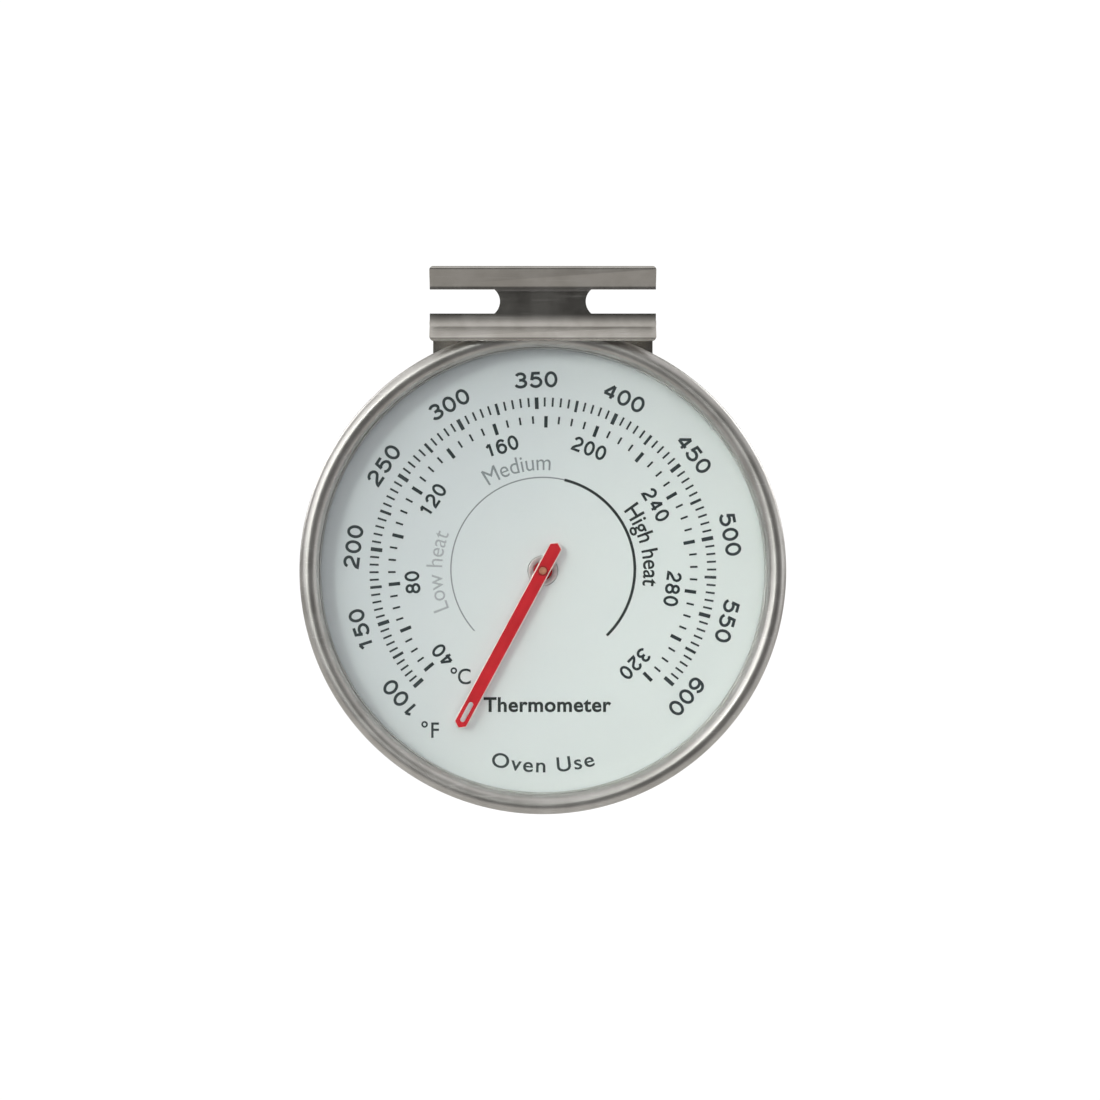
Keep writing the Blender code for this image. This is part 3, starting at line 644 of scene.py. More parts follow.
# A finish is the record's material slot and the material that is drawn.
STEEL = "satin_steel"
STEEL_RING = (STEEL, brushed_steel("steel_circular_brush", "ring", 0.58, 0.02, 0.39, 0.5, 0.6))
STEEL_CASE = (STEEL, brushed_steel("steel_drawn_case", "ring", 0.50, 0.02, 0.30, 0.5, 0.7))
STEEL_SHEET = (STEEL, brushed_steel("steel_sheet", "x", 0.48, 0.035, 0.20, 0.3, 0.16))
STEEL_RIVET = (STEEL, brushed_steel("steel_rivet", "x", 0.55, 0.02, 0.25, 0.4))
ZINC = ("plated_steel", turned_metal("zinc_plate", (0.60, 0.60, 0.57, 1), 0.30))
BRASS = ("brass", turned_metal("brass", (0.74, 0.56, 0.27, 1), 0.26))
PALE_BUSH = ("brass", turned_metal("nickelled_bush", (0.93, 0.95, 0.92, 1), 0.55, 0.0))
COPPER = ("copper_alloy", turned_metal("copper_alloy", (0.60, 0.26, 0.155, 1), 0.55, 0.5))
BIMETAL = ("bimetal_strip", turned_metal("bimetal_strip", (0.45, 0.40, 0.36, 1), 0.32))
BARE_EDGE = turned_metal("bare_aluminium", (0.97, 0.86, 0.82, 1), 0.5, 0.0)
GLASS = ("clear_glass", clear_glass())
DIAL = ("dial_enamel", dial_coat())
RED = ("red_paint", red_paint("red_paint", 1.0))
# the hub's red is the paint darkened: painted shade, for the hub in the blade's shadow
RED_PAINTED_SHADE = ("red_paint", red_paint("red_paint_hub_painted_shade", 0.62))
SILICONE = ("silicone", silicone())


# ---------------- case, bezel and window

def make_bezel():
    """Rolled bead down to the window's edge, a skirt, and the crimp behind the case's flange."""
    middle = (BEZEL_RADIUS - BEAD_RADIUS, BEAD_CENTRE)
    crimp_round = 0.4
    edge_round = 0.12
    crimp_edge = CASE_FRONT_OUTER + 0.4
    lip_root_y = BEAD_CENTRE - BEAD_RADIUS * cos(radians(LIP_ANGLE))
    profile = [(LIP_RADIUS, LENS_FRONT - GAP), (LIP_RADIUS + 0.01, lip_root_y + 0.15)]
    profile += arc(middle, BEAD_RADIUS, -90 - LIP_ANGLE, 0, 30)
    profile += arc((BEZEL_RADIUS - crimp_round, CRIMP_BACK - crimp_round), crimp_round, 0, 90, 6)
    profile += arc((crimp_edge + edge_round, CRIMP_BACK - edge_round), edge_round, 90, 180, 4)
    profile += [(crimp_edge, CRIMP_FRONT), (BEZEL_RADIUS - BEZEL_SHEET, CRIMP_FRONT)]
    profile += arc(middle, BEAD_RADIUS - BEZEL_SHEET, 0, -180, 24)
    turned_piece("bezel_ring", profile, STEEL_RING, steps=RING_STEPS, edge=0.07)


def make_case():
    hole = REAR_BUSH_RADIUS + GAP
    inner_round = 1.2
    outer_round = inner_round + CASE_SHEET
    step_round = 0.5
    profile = [(hole, BACK_INNER)]
    profile += arc((CASE_REAR_INNER - inner_round, BACK_INNER - inner_round), inner_round, 90, 0, 8)
    profile += [(CASE_REAR_INNER, LEDGE_FRONT), (CASE_FRONT_INNER, LEDGE_FRONT)]
    profile += [(CASE_FRONT_INNER, FLANGE_FRONT), (FLANGE_RADIUS, FLANGE_FRONT)]
    profile += [(FLANGE_RADIUS, FLANGE_BACK), (CASE_FRONT_OUTER, FLANGE_BACK)]
    profile += arc((CASE_FRONT_OUTER - step_round, LEDGE_BACK - step_round), step_round, 0, 90, 6)
    profile += [(CASE_REAR_OUTER, LEDGE_BACK)]
    profile += arc((CASE_REAR_OUTER - outer_round, CASE_BACK - outer_round), outer_round, 0, 90, 10)
    profile += [(hole, CASE_BACK)]
    case = turned_object("case_cup_finished", profile, DISC_STEPS, edge=0.06)
    through = (BACK_INNER - BEYOND, CASE_BACK + BEYOND)
    vents = []
    for i in range(VENT_COUNT):
        angle = -pi * i / (VENT_COUNT - 1)
        vents.append(at(VENT_RING_RADIUS * cos(angle), VENT_RING_RADIUS * sin(angle)))
    cut(case, drill("cut_vents", vents, VENT_RADIUS, *through))
    anchor = at(ANCHOR_RING_RADIUS * cos(ANCHOR_ANGLE), ANCHOR_RING_RADIUS * sin(ANCHOR_ANGLE))
    pins = on_both_sides(at, (STANDOFF_X, 0)) + on_both_sides(at, HANGER_RIVET) + [anchor]
    cut(case, drill("cut_pins", pins, PIN_RADIUS + PIN_GAP, *through))
    case.data.set_sharp_from_angle(angle=radians(SHARP_ANGLE))
    finish_piece(case, "case", STEEL_CASE, "case_cup")


def washer(inner, outer, front, back):
    """Profile of a flat ring, or of a disc when inner is 0."""
    return [(inner, front), (outer, front), (outer, back), (inner, back)]


def make_window_and_dial():
    glass = washer(0, LENS_RADIUS, LENS_FRONT, LENS_BACK)
    turned_piece("lens", glass, GLASS, steps=DISC_STEPS, edge=0.2)
    spacer = washer(SPACER_INNER, DIAL_RADIUS, SPACER_FRONT, SPACER_BACK)
    turned_piece("spacer_ring", spacer, STEEL_RING, steps=DISC_STEPS, edge=0.12)
    plate = washer(DIAL_HOLE_RADIUS, DIAL_RADIUS, 0, DIAL_THICKNESS)
    turned_piece("dial_plate", plate, DIAL, steps=DISC_STEPS, edge=0.06)


# ---------------- movement

def make_pointer():
    right = [(POINTER_HALF_WIDTH, -POINTER_TAIL_CORNER), (POINTER_HALF_WIDTH, POINTER_TIP_CORNER)]
    left = [(-x, z) for x, z in right[::-1]]
    outline = [(0, -POINTER_TAIL)] + right + [(0, POINTER_TIP)] + left
    back_edge = 0.05
    levels = [(POINTER_FRONT, inset(outline, BARE_EDGE_WIDTH))]
    levels += [(POINTER_FRONT + BARE_EDGE_WIDTH, outline), (POINTER_BACK - back_edge, outline)]
    levels += [(POINTER_BACK, inset(outline, back_edge))]
    blade = stacked_object("pointer_finished", levels)
    through = (POINTER_FRONT - BEYOND, POINTER_BACK + BEYOND)
    window = arc((0, WINDOW[0]), WINDOW_HALF_WIDTH, 180, 360, 14)
    window += arc((0, WINDOW[1]), WINDOW_HALF_WIDTH, 0, 180, 14)
    cut(blade, prism_object("cut_window", window, *through, "Y"))
    cut(blade, drill("cut_eye", [CENTRE], COLLAR_RADIUS + 0.02, *through))
    blade.data.transform(Matrix.Rotation(radians(COLD_READING), 4, "Y"))
    finish_piece(blade, "pointer", RED, "pointer")
    blade.data.materials.append(BARE_EDGE)
    for face in blade.data.polygons:
        face.material_index = 1 if abs(face.normal.y) < 0.9 else 0


def make_shaft():
    hub_front = POINTER_BACK + GAP
    seat = SHAFT_RADIUS + 0.01
    hub = [(seat, COLLAR_FRONT), (COLLAR_RADIUS, COLLAR_FRONT), (COLLAR_RADIUS, hub_front)]
    hub += [(HUB_RADIUS, hub_front), (HUB_RADIUS, HUB_BACK), (seat, HUB_BACK)]
    # the hub gets red with painted shade, as it lies in the blade's shadow
    turned_piece("pointer_hub", hub, RED_PAINTED_SHADE, "pointer")

    front, back = cad_levels("pointer_shaft")
    mark_radius, mark_depth = CENTRE_MARK
    shaft = [(0, front + mark_depth), (mark_radius, front), (SHAFT_RADIUS, front)]
    shaft += [(SHAFT_RADIUS, back), (0, back)]
    turned_piece("pointer_shaft", shaft, COPPER, "pointer", edge=0.1)

    collet = washer(BORE_RADIUS, COLLET_RADIUS, *cad_levels("coil_collet"))
    turned_piece("coil_collet", collet, BRASS, "pointer")


def make_bushes():
    rim = DIAL_HOLE_RADIUS - 0.1
    rim_front = 0.1
    dish = HUB_RADIUS + 0.12
    flange_front = BRIDGE_BACK + GAP
    front_bush = [(BORE_RADIUS, DISH_FLOOR), (dish, DISH_FLOOR), (dish, DISH_FRONT)]
    front_bush += [(rim - 0.16, rim_front), (rim, rim_front), (rim, BRIDGE_FRONT - GAP)]
    front_bush += [(FRONT_BUSH_RADIUS, BRIDGE_FRONT - GAP), (FRONT_BUSH_RADIUS, flange_front)]
    front_bush += [(FRONT_BUSH_FLANGE, flange_front), (FRONT_BUSH_FLANGE, FRONT_BUSH_BACK)]
    front_bush += [(BORE_RADIUS, FRONT_BUSH_BACK)]
    turned_piece("front_bearing_bush", front_bush, PALE_BUSH)

    thrust_washer = washer(BORE_RADIUS, COLLET_RADIUS, WASHER_FRONT, WASHER_BACK)
    turned_piece("thrust_washer", thrust_washer, COPPER)

    seat = BACK_INNER - GAP
    rear_bush = [(BORE_RADIUS, REAR_BUSH_FRONT), (REAR_BUSH_FLANGE, REAR_BUSH_FRONT)]
    rear_bush += [(REAR_BUSH_FLANGE, seat), (REAR_BUSH_RADIUS, seat), (REAR_BUSH_RADIUS, CASE_BACK)]
    rear_bush += [(0, CASE_BACK), (0, REAR_BORE_FLOOR), (BORE_RADIUS, REAR_BORE_FLOOR)]
    turned_piece("rear_bearing_bush", rear_bush, BRASS)


def make_standoffs():
    """Posts with a screw hole in front, swaged behind the case's back."""
    seat = BACK_INNER - GAP
    front = BRIDGE_BACK + GAP
    hole_radius, hole_floor = SCREW_HOLE
    profile = [(0, hole_floor), (hole_radius, hole_floor), (hole_radius, front)]
    profile += [(STANDOFF_RADIUS, front), (STANDOFF_RADIUS, seat), (PIN_RADIUS, seat)]
    profile += [(PIN_RADIUS, PLATE_FRONT), (SWAGE_RADIUS, PLATE_FRONT)]
    profile += [(SWAGE_RADIUS - 0.15, SWAGE_BACK - 0.1), (SWAGE_RADIUS - 0.5, SWAGE_BACK)]
    profile += [(0, SWAGE_BACK)]
    for (name, _), place in zip(SIDES, on_both_sides(at, (STANDOFF_X, 0))):
        turned_piece("bridge_standoff_" + name, profile, ZINC, place=place)


def finish_cad_internals():
    """CAD nodes whose shape is right as it is: a procedural finish, and their sharp edges rounded."""
    smooth = {"lens_gasket": SILICONE, "bimetal_coil": BIMETAL}
    sharp = {"coil_anchor_post": ZINC, "coil_post_cap": BRASS, "movement_bridge": ZINC,
             "bridge_screw_left": ZINC, "bridge_screw_right": ZINC}
    for node, (_, material) in {**smooth, **sharp}.items():
        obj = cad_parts[node]
        for material_slot in obj.material_slots:
            material_slot.material = material
        if node in sharp:
            bevel_edges(obj, 0.06)


# ---------------- hanger

def rivet_profile(flush, under):
    """A rivet from its flush head to its other head, which stands out from the level under it."""
    down = 1 if under > flush else -1
    head_face = under + down * RIVET_TAIL
    profile = [(0, flush), (RIVET_HEAD_RADIUS, flush), (RIVET_RADIUS, flush + down * RIVET_SINK)]
    profile += [(RIVET_RADIUS, under), (RIVET_HEAD_RADIUS, under)]
    return profile + [(RIVET_HEAD_RADIUS - 0.3, head_face), (0, head_face)]


def countersink(name, places, flush, through):
    down = 1 if through > flush else -1
    wide = RIVET_HEAD_RADIUS + PIN_GAP
    narrow = RIVET_RADIUS + PIN_GAP
    profile = [(0, flush - down), (wide, flush - down), (wide, flush)]
    profile += [(narrow, flush + down * RIVET_SINK), (narrow, through), (0, through)]
    return turned_cutter(name, profile, places)


def make_hanger_plate():
    half = HANGER_SHEET / 2
    shelf_z = SHELF_BOTTOM + half
    moves = [("go", PLATE_FRONT + half - PLATE_BEND - SHELF_FRONT)]
    moves += [("bend", radians(-90), PLATE_BEND), ("go", shelf_z - PLATE_BEND - PLATE_BOTTOM)]
    section = bent_sheet((SHELF_FRONT, shelf_z), 0, moves, HANGER_SHEET)
    plate = prism_object("hanger_plate_finished", section, -PLATE_HALF_WIDTH, PLATE_HALF_WIDTH, "X")
    reach = PLATE_HALF_WIDTH + 0.01
    corner_x = TONGUE_HALF_WIDTH - TONGUE_CORNER
    right = arc((corner_x, PLATE_BOTTOM + TONGUE_CORNER), TONGUE_CORNER, -90, 0, 16)
    right += [(TONGUE_HALF_WIDTH, TAPER_BOTTOM), (reach, TAPER_TOP), (reach, SHELF_BOTTOM + 3)]
    outline = right + [(-x, z) for x, z in right[::-1]]
    cut(plate, prism_object("keep_outline", outline, *THROUGH_ALL, "Y"), "INTERSECT")
    places = on_both_sides(at, HANGER_RIVET)
    cut(plate, countersink("cut_back", places, PLATE_BACK, PLATE_FRONT - BEYOND))
    places = on_both_sides(upright_at, CLIP_RIVET)
    cut(plate, drill("cut_shelf", places, RIVET_RADIUS + PIN_GAP, SHELF_BOTTOM - 2, SHELF_BOTTOM + 2))
    bevel_edges(plate)
    finish_piece(plate, "case", STEEL_SHEET, "hanger_plate")


def slot_outline(side):
    half_height = (SLOT_TOP - SLOT_BOTTOM) / 2
    middle = (SLOT_TOP + SLOT_BOTTOM) / 2
    spread = degrees(asin(half_height / SLOT_END_RADIUS))
    centre = (NECK_HALF_WIDTH + SLOT_END_RADIUS, middle)
    outline = arc(centre, SLOT_END_RADIUS, 180 - spread, 180 + spread, 24)
    outline += [(CLIP_HALF_WIDTH + BEYOND, SLOT_BOTTOM), (CLIP_HALF_WIDTH + BEYOND, SLOT_TOP)]
    return [(side * x, z) for x, z in outline]


def clip_section():
    """The clip from the side: a leaning upper flange, the upright web and a leaning lower flange."""
    half = HANGER_SHEET / 2
    upper_sine = sin(UPPER_TILT)
    start_z = UPPER_EDGE_Z - half * upper_sine
    upper_length = (start_z - WEB_TOP - UPPER_BEND * upper_sine) / cos(UPPER_TILT)
    start_y = CLIP_WEB - UPPER_BEND * (1 - cos(UPPER_TILT)) - upper_length * upper_sine
    lower_drop = WEB_BOTTOM - LOWER_EDGE_Z - (LOWER_BEND + half) * sin(LOWER_TILT)
    moves = [("go", upper_length), ("bend", -UPPER_TILT, UPPER_BEND), ("go", WEB_TOP - WEB_BOTTOM)]
    moves += [("bend", -LOWER_TILT, LOWER_BEND), ("go", lower_drop / cos(LOWER_TILT))]
    sheet = bent_sheet((start_y, start_z), UPPER_TILT - pi / 2, moves, HANGER_SHEET)
    return rounded(sheet, CLIP_EDGE, 4)


def make_rack_clip():
    clip = prism_object("rack_clip_finished", clip_section(), -CLIP_HALF_WIDTH, CLIP_HALF_WIDTH, "X")
    reach = CLIP_HALF_WIDTH + 0.01
    outline = rounded_rectangle(-reach, LOWER_EDGE_Z - 0.01, reach, UPPER_EDGE_Z + 0.05, CLIP_CORNER)
    cut(clip, prism_object("keep_outline", outline, *THROUGH_ALL, "Y"), "INTERSECT")
    for _, side in SIDES:
        cut(clip, prism_object("cut_slot", slot_outline(side), *THROUGH_ALL, "Y"))
    foot = [(CLIP_WEB, FOOT_BOTTOM), (FOOT_BACK, FOOT_BOTTOM)]
    foot += [(FOOT_BACK, FOOT_TOP), (CLIP_WEB, FOOT_TOP)]
    for _, side in SIDES:
        ends = sorted((side * FOOT_INNER_X, side * FOOT_OUTER_X))
        cut(clip, prism_object("join_foot", foot, *ends, "X"), "UNION")
    places = on_both_sides(upright_at, CLIP_RIVET)
    cut(clip, countersink("cut_feet", places, FOOT_TOP, FOOT_BOTTOM - BEYOND))
    bevel_edges(clip)
    finish_piece(clip, "case", STEEL_SHEET, "rack_clip")


def make_rivets():
    back = rivet_profile(PLATE_BACK, BACK_INNER - GAP)
    shelf = rivet_profile(FOOT_TOP, SHELF_BOTTOM - GAP)
    places = zip(SIDES, on_both_sides(at, HANGER_RIVET), on_both_sides(upright_at, CLIP_RIVET))
    for (name, _), hanger_place, clip_place in places:
        turned_piece("hanger_rivet_" + name, back, STEEL_RIVET, place=hanger_place)
        turned_piece("clip_rivet_" + name, shelf, STEEL_RIVET, place=clip_place)


# ---------------- dial printing

INK_HEIGHT = 0.02
INK_SINK = 0.01  # how far the ink's underside lies inside the dial
INK_STEP = 0.0015  # neighbouring strokes differ in height by this, so none coincide
INK_LEVELS = 5
FONT_CAP = 0.682  # height of a capital in Blender's own font at size 1
LETTER_MIDDLE = 0.9  # height above its foot where a bent word keeps its length

FAHRENHEIT = range(100, 601, 5)
FAHRENHEIT_NUMBERS = range(100, 601, 50)
CELSIUS = range(40, 321, 5)
CELSIUS_NUMBERS = range(40, 321, 40)

# For each interval in degrees, coarsest first: a tick's inner and outer radius, and its width.
FAHRENHEIT_TICKS = {50: (27.71, 29.71, 0.66), 25: (27.71, 29.71, 0.48), 5: (28.12, 29.69, 0.34)}
CELSIUS_TICKS = {20: (24.53, 26.51, 0.59), 5: (25.21, 26.51, 0.34)}
FAHRENHEIT_NUMBER_RADIUS = 32.71
CELSIUS_NUMBER_RADIUS = 22.42

FAHRENHEIT_UNIT = Vector((-19.2, -27.3))
CELSIUS_UNIT = Vector((-14.2, -18.1))
UNIT_CAP = 2.6
UNIT_LETTER_X = 0.75  # from the mark's centre
DEGREE_RING = Vector((-1.05, 1.0))
DEGREE_RADIUS = 0.42

ZONE_ARC_RADIUS = 15.75
ZONE_ARC_CENTRE = Vector((0, 0.25))
ZONE_WORD_RADIUS = 17.25
ZONE_CAP = 2.73
NOTE_RADIUS = 34.5
NOTE_CAP = 2.42
TITLE_FOOT = (0.78, -24.1)
TITLE_CAP = 2.37


def dial_angle(fahrenheit):
    """Angle of a temperature; the coil's response makes the scale slightly uneven."""
    x = (fahrenheit - 350) / 250
    return -2.1 + 136.6 * x - 5.0 * x ** 3 + 1.7 * x ** 4


def celsius_angle(celsius):
    return dial_angle(celsius * 9 / 5 + 32)


def polar(radius, angle):
    return Vector((radius * sin(radians(angle)), radius * cos(radians(angle))))


class Ink:
    """Closed, very thin solids that stand on the dial's face, gathered in one mesh."""

    def __init__(self):
        self.bm = bmesh.new()
        self.count = 0

    def stroke(self, points, width, closed=False):
        """A line of constant width through (x, z) points, with mitred corners."""
        points = [Vector(p) for p in points]
        last = len(points) - 1
        offsets = []
        for i, point in enumerate(points):
            ahead = points[(i + 1) % len(points)] if closed or i < last else None
            behind = points[i - 1] if closed or i > 0 else None
            into = (point - behind).normalized() if behind is not None else (ahead - point).normalized()
            out = (ahead - point).normalized() if ahead is not None else into
            normal = Vector((-into.y - out.y, into.x + out.x)).normalized()
            stretch = max(0.35, normal.dot(Vector((-into.y, into.x))))
            offsets.append(normal * (width / 2 / stretch))
        top = -INK_HEIGHT - INK_STEP * (self.count % INK_LEVELS)
        self.count += 1
        rings = []
        for point, offset in zip(points, offsets):
            corners = ((1, top), (1, INK_SINK), (-1, INK_SINK), (-1, top))
            ring = [Vector((point.x + s * offset.x, y, point.y + s * offset.y)) for s, y in corners]
            rings.append([self.bm.verts.new(v) for v in ring])
        pairs = list(zip(rings, rings[1:])) + ([(rings[-1], rings[0])] if closed else [])
        for here, following in pairs:
            for k in range(4):
                j = (k + 1) % 4
                self.bm.faces.new((here[k], here[j], following[j], following[k]))
        if not closed:
            self.bm.faces.new(rings[0])
            self.bm.faces.new(rings[-1])

    def letters(self, text, place, cap, width, weight, spacing=1.0):
        """Words in Blender's own font; place turns (x from the middle, height) into dial (x, z)."""
        curve = bpy.data.curves.new("letters", "FONT")
        curve.body = text
        curve.size = cap / FONT_CAP
        curve.offset = weight
        curve.space_character = spacing
        curve.resolution_u = 5
        curve.extrude = (INK_HEIGHT + INK_SINK) / 2
        obj = add_object("letters", curve)
        mesh = evaluated_mesh(obj)
        bpy.data.objects.remove(obj, do_unlink=True)
        count = len(self.bm.verts)
        self.bm.from_mesh(mesh)
        self.bm.verts.ensure_lookup_table()
        added = self.bm.verts[count:]
        middle = (min(v.co.x for v in added) + max(v.co.x for v in added)) / 2
        for v in added:
            x, z = place((v.co.x - middle) * width, v.co.y)
            v.co = (x, (INK_SINK - INK_HEIGHT) / 2 - v.co.z, z)
        bmesh.ops.remove_doubles(self.bm, verts=added, dist=0.0005)

    def piece(self, name, finish):
        finish_piece(to_object(name, self.bm), "case", finish)


def around_circle(radius, middle, rise):
    """Place letters on a circle through their feet; rise is -1 when their tops point inwards."""
    def place(x, height):
        angle = middle + rise * degrees(x / (radius + rise * LETTER_MIDDLE))
        return polar(radius + rise * height, angle)
    return place


def upright(centre):
    """Place letters in a straight line whose feet are at the centre's height."""
    return lambda x, height: (centre[0] + x, centre[1] + height)


def curl(cx, cy, rx, ry, start, end):
    """Part of an ellipse inside a figure."""
    return bow((cx, cy), (rx, ry), start, end, 14)


def oval(cx, cy, rx, ry):
    """A whole ellipse; the repeated last point marks it as closed."""
    return bow((cx, cy), (rx, ry), 90, 450, 28)


def swing(p0, p1, p2, p3, steps=10):
    """A cubic curve through four control points."""
    points = []
    for i in range(steps + 1):
        t = i / steps
        weights = ((1 - t) ** 3, 3 * t * (1 - t) ** 2, 3 * t * t * (1 - t), t ** 3)
        points.append(tuple(sum(w * p[k] for w, p in zip(weights, (p0, p1, p2, p3))) for k in (0, 1)))
    return points


# Strokes of each figure, in a box that is 1 wide and 1 high.
FIGURES = {
    "0": [oval(0.5, 0.5, 0.5, 0.5)],
    "1": [[(0.64, 0), (0.64, 1.0)], [(0.62, 0.97), (0.2, 0.76)]],
    "2": [curl(0.49, 0.70, 0.46, 0.30, 170, -14)
          + swing((0.94, 0.63), (0.92, 0.42), (0.03, 0.30), (0.01, 0.0))[1:] + [(1.0, 0.0)]],
    "3": [curl(0.48, 0.755, 0.43, 0.245, 160, -90) + [(0.34, 0.51)],
          curl(0.48, 0.262, 0.52, 0.262, 88, -160)],
    "4": [[(0.76, 0), (0.76, 0.985)], [(0.74, 1.0), (0.0, 0.29)], [(-0.03, 0.27), (1.04, 0.27)]],
    "5": [[(0.92, 1.0), (0.2, 1.0), (0.08, 0.49)],
          [(0.08, 0.49)] + curl(0.47, 0.33, 0.53, 0.33, 132, -158)],
    "6": [oval(0.5, 0.325, 0.5, 0.325), curl(0.55, 0.56, 0.55, 0.44, 38, 180) + [(0.0, 0.33)]],
    "8": [oval(0.5, 0.755, 0.43, 0.245), oval(0.5, 0.262, 0.5, 0.262)],
}


class FigureStyle:
    """How numbers are drawn. width and gap are shares of the figures' height."""

    def __init__(self, height, width, gap, stroke):
        self.height = height
        self.width = width * height
        self.pitch = (width + gap) * height
        self.stroke = stroke

    def number(self, ink, text, centre, turn):
        """A number centred on a dial point, its top turned clockwise by an angle."""
        right = polar(1, turn + 90)
        up = polar(1, turn)
        total = self.pitch * (len(text) - 1) + self.width
        across = self.width - self.stroke
        rise = self.height - self.stroke
        for k, figure in enumerate(text):
            corner = centre + right * (k * self.pitch + (self.stroke - total) / 2) - up * (rise / 2)
            for line in FIGURES[figure]:
                closed = len(line) > 2 and dist(line[0], line[-1]) < 1e-6
                points = [corner + right * (u * across) + up * (v * rise) for u, v in line]
                ink.stroke(points[:-1] if closed else points, self.stroke, closed)


FAHRENHEIT_FIGURES = FigureStyle(height=2.79, width=0.80, gap=0.13, stroke=0.50)
CELSIUS_FIGURES = FigureStyle(height=2.58, width=0.69, gap=0.12, stroke=0.45)


def print_ticks(name, temperatures, to_angle, kinds, finish):
    ink = Ink()
    for temperature in temperatures:
        inner, outer, width = next(kinds[step] for step in kinds if temperature % step == 0)
        angle = to_angle(temperature)
        ink.stroke([polar(inner, angle), polar(outer, angle)], width)
    ink.piece(name, finish)


def print_numbers(name, temperatures, to_angle, style, radius, unit, unit_centre, finish):
    """The scale's numbers, and its unit: an upright letter after a degree ring."""
    ink = Ink()
    for temperature in temperatures:
        angle = to_angle(temperature)
        style.number(ink, str(temperature), polar(radius, angle), angle)
    letter_foot = unit_centre + Vector((UNIT_LETTER_X, -UNIT_CAP / 2))
    ink.letters(unit, upright(letter_foot), UNIT_CAP, width=0.92, weight=0.03)
    ring = [unit_centre + DEGREE_RING + polar(DEGREE_RADIUS, angle) for angle in range(0, 360, 20)]
    ink.stroke(ring, 0.3, closed=True)
    ink.piece(name, finish)


def print_zone_arc(name, start, end, width, finish):
    ink = Ink()
    steps = round((end - start) / 2)
    angles = [start + (end - start) * i / steps for i in range(steps + 1)]
    ink.stroke([ZONE_ARC_CENTRE + polar(ZONE_ARC_RADIUS, angle) for angle in angles], width)
    ink.piece(name, finish)


def print_words(name, text, place, cap, width, weight, finish, spacing=1.0):
    ink = Ink()
    ink.letters(text, place, cap, width, weight, spacing)
    ink.piece(name, finish)


def make_printing():
    dark = print_ink("ink_fahrenheit", (0.024, 0.032, 0.036))
    darker = print_ink("ink_celsius", (0.014, 0.022, 0.025))
    black = print_ink("ink_black", (0.014, 0.019, 0.019))
    green_grey = print_ink("ink_green_grey", (0.034, 0.046, 0.046))
    middle_grey = print_ink("ink_middle_grey", (0.235, 0.26, 0.27))
    light_grey = print_ink("ink_light_grey", (0.38, 0.40, 0.415))
    arc_grey = print_ink("ink_arc_grey", (0.25, 0.27, 0.28))

    print_ticks("print_fahrenheit_ticks", FAHRENHEIT, dial_angle, FAHRENHEIT_TICKS, dark)
    print_ticks("print_celsius_ticks", CELSIUS, celsius_angle, CELSIUS_TICKS, darker)
    print_numbers("print_fahrenheit_figures", FAHRENHEIT_NUMBERS, dial_angle, FAHRENHEIT_FIGURES,
                  FAHRENHEIT_NUMBER_RADIUS, "F", FAHRENHEIT_UNIT, dark)
    print_numbers("print_celsius_figures", CELSIUS_NUMBERS, celsius_angle, CELSIUS_FIGURES,
                  CELSIUS_NUMBER_RADIUS, "C", CELSIUS_UNIT, darker)
    print_zone_arc("print_zone_arc_thin", -132, 13.6, 0.24, arc_grey)
    print_zone_arc("print_zone_arc_thick", 13.6, 136, 0.48, black)
    for name, text, weight, middle, finish in (
        ("print_zone_low", "Low heat", 0.0, -90, light_grey),
        ("print_zone_medium", "Medium", 0.0, -14, middle_grey),
        ("print_zone_high", "High heat", 0.05, 76, black),
    ):
        place = around_circle(ZONE_WORD_RADIUS, middle, 1)
        print_words(name, text, place, ZONE_CAP, 0.92, weight, finish)
    note_place = around_circle(NOTE_RADIUS, 180, -1)
    print_words("print_note", "Oven Use", note_place, NOTE_CAP, 1.12, 0.04, green_grey, spacing=1.12)
    title_place = upright(TITLE_FOOT)
    print_words("print_title", "Thermometer", title_place, TITLE_CAP, 1.03, 0.09, black, spacing=1.06)


# ---------------- studio

CAMERA_DISTANCE = 480  # from the bezel's front face
LENS_LENGTH = 93.0
SENSOR_WIDTH = 36
LENS_SHIFT = (0.0065, 0.0189)  # to the right and up, as a share of the sensor's width
WHITE = 1.05  # brightness of what the camera sees behind the object


def make_camera():
    data = bpy.data.cameras.new("camera")
    data.lens = LENS_LENGTH
    data.sensor_width = SENSOR_WIDTH
    data.shift_x, data.shift_y = LENS_SHIFT
    data.clip_start = 0.01
    data.clip_end = 20
    camera = add_object("camera", data)
    camera.location = (0, FACE_Y_M + (BEZEL_FRONT - CAMERA_DISTANCE) * MM, 0)
    camera.rotation_euler = (radians(90), 0, 0)
    bpy.context.scene.camera = camera


def area_light(name, azimuth, elevation, distance, size, power, colour=(1, 1, 1), mirrored=True):
    """A softbox that faces the dial, in metres and watts.

    Azimuth 0 is the camera's side and positive is to the right. One that is not mirrored lights
    matt surfaces only, and the metal does not show it.
    """
    a = radians(azimuth)
    e = radians(elevation)
    direction = Vector((sin(a) * cos(e), -cos(a) * cos(e), sin(e)))
    data = bpy.data.lights.new(name, "AREA")
    data.shape = "RECTANGLE"
    data.size, data.size_y = size
    data.energy = power
    data.color = colour
    light = add_object(name, data)
    light.location = direction * distance
    light.rotation_euler = (-direction).to_track_quat("-Z", "Y").to_euler()
    light.visible_glossy = mirrored
    light.visible_transmission = mirrored
    return light


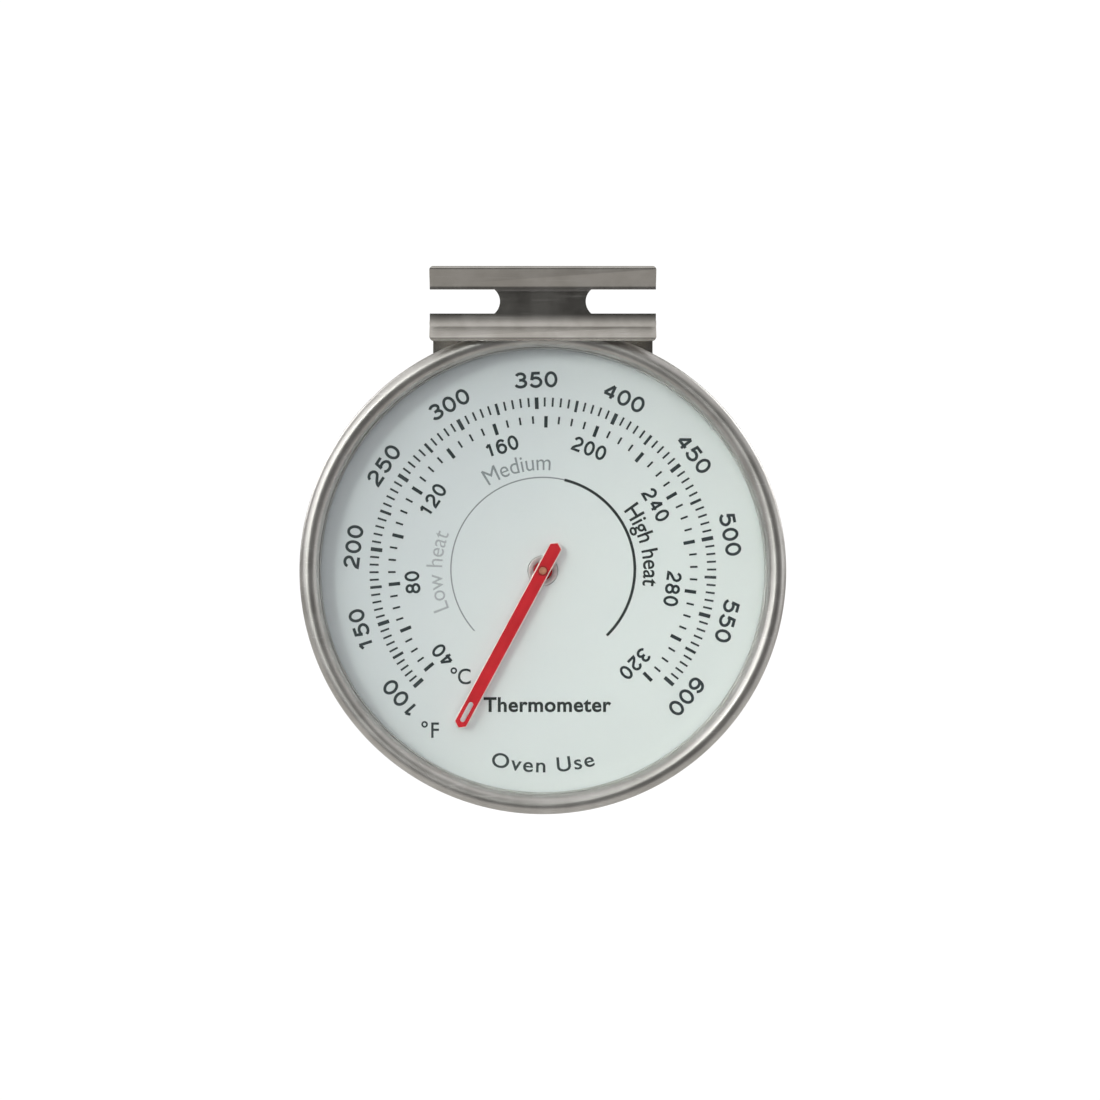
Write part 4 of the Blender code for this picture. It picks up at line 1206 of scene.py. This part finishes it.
def make_lights():
    area_light("key_left", -24, 12, 1.5, (0.16, 0.2), 3.6, (0.97, 1.0, 0.95))
    area_light("key_halo", -48, 20, 1.3, (1.0, 1.0), 3.7)
    card = area_light("card_left", -50, 6, 1.2, (1.1, 1.4), 1.6)
    card.visible_diffuse = False
    area_light("fill_front", 4, 4, 1.0, (0.5, 0.5), 4.6, (1.03, 0.985, 1.04), mirrored=False)
    area_light("top", 14, 84, 0.9, (0.85, 0.85), 2.0, mirrored=False)
    area_light("side_right", 78, -5, 0.9, (0.6, 0.6), 1.2)
    area_light("rear_left", -130, 25, 0.9, (0.4, 0.5), 2.0)
    area_light("rear_right", 130, 25, 0.9, (0.4, 0.5), 2.0)


def make_world():
    """Pale behind every view. Metal mirrors a grey room, pale above and dark where the camera stands."""
    world = bpy.data.worlds.new("studio")
    n = Nodes(world, "World Output", "Generated")
    _, y, z = n.parts()
    room = n.ramp(y, -0.92, -0.45, 0.05, 0.30)
    ceiling = n.ramp(z, 0.15, 1.0, 0.0, 0.65, "LINEAR")
    mirrored_room = n.tree.nodes["Background"]
    mirrored_room.inputs["Color"].default_value = (1, 0.99, 0.975, 1)
    n.link(n.math("ADD", room, ceiling), mirrored_room.inputs["Strength"])
    pale = n.shader("Background", (1, 1, 1, 1), Strength=WHITE)
    n.finish_with(mirrored_room.outputs[0], "Is Camera Ray", pale)
    bpy.context.scene.world = world


def backdrop_material():
    """Pale paper: white to the camera, and grey to whatever mirrors it, with painted shade that darkens it
    in front.
    """
    n = Surface("backdrop_paper")
    fibre = n.ramp(n.speckle(60, 4.0), 0.3, 0.7)
    paper = n.mix(fibre, (0.56, 0.55, 0.53, 1), (0.52, 0.51, 0.49, 1))
    _, y, _ = n.parts()
    # painted shade: the paper turns dark grey towards the front
    n.set(colour=n.mix(n.ramp(y, -0.22, -0.08), grey(0.08), paper), roughness=0.8)
    glow = n.shader("Emission", (1, 1, 1, 1), Strength=WHITE)
    n.finish_with(n.principled.outputs[0], "Is Camera Ray", glow)
    return n.material


def make_backdrop():
    """Floor that sweeps up into a wall far behind the object, in metres."""
    floor_front = -1.0
    floor_z = -0.16
    wall_y = 1.4
    wall_top = 2.6
    bend = 0.4
    half_width = 3.0
    path = [(floor_front, floor_z)]
    path += arc((wall_y - bend, floor_z + bend), bend, -90, 0, 16)
    path += [(wall_y, wall_top)]
    bm = bmesh.new()
    rows = [[bm.verts.new((x, y, z)) for x in (-half_width, half_width)] for y, z in path]
    for low, high in zip(rows, rows[1:]):
        bm.faces.new((low[0], low[1], high[1], high[0]))
    mesh = bpy.data.meshes.new("backdrop")
    bm.to_mesh(mesh)
    bm.free()
    mesh.shade_smooth()
    mesh.materials.append(backdrop_material())
    add_object("backdrop", mesh)


# ---------------- assembly

make_bezel()
make_case()
make_window_and_dial()
make_pointer()
make_shaft()
make_bushes()
make_standoffs()
finish_cad_internals()
make_hanger_plate()
make_rack_clip()
make_rivets()
make_printing()
make_lights()
make_world()
make_backdrop()
make_camera()
bpy.context.scene.view_settings.view_transform = "Standard"
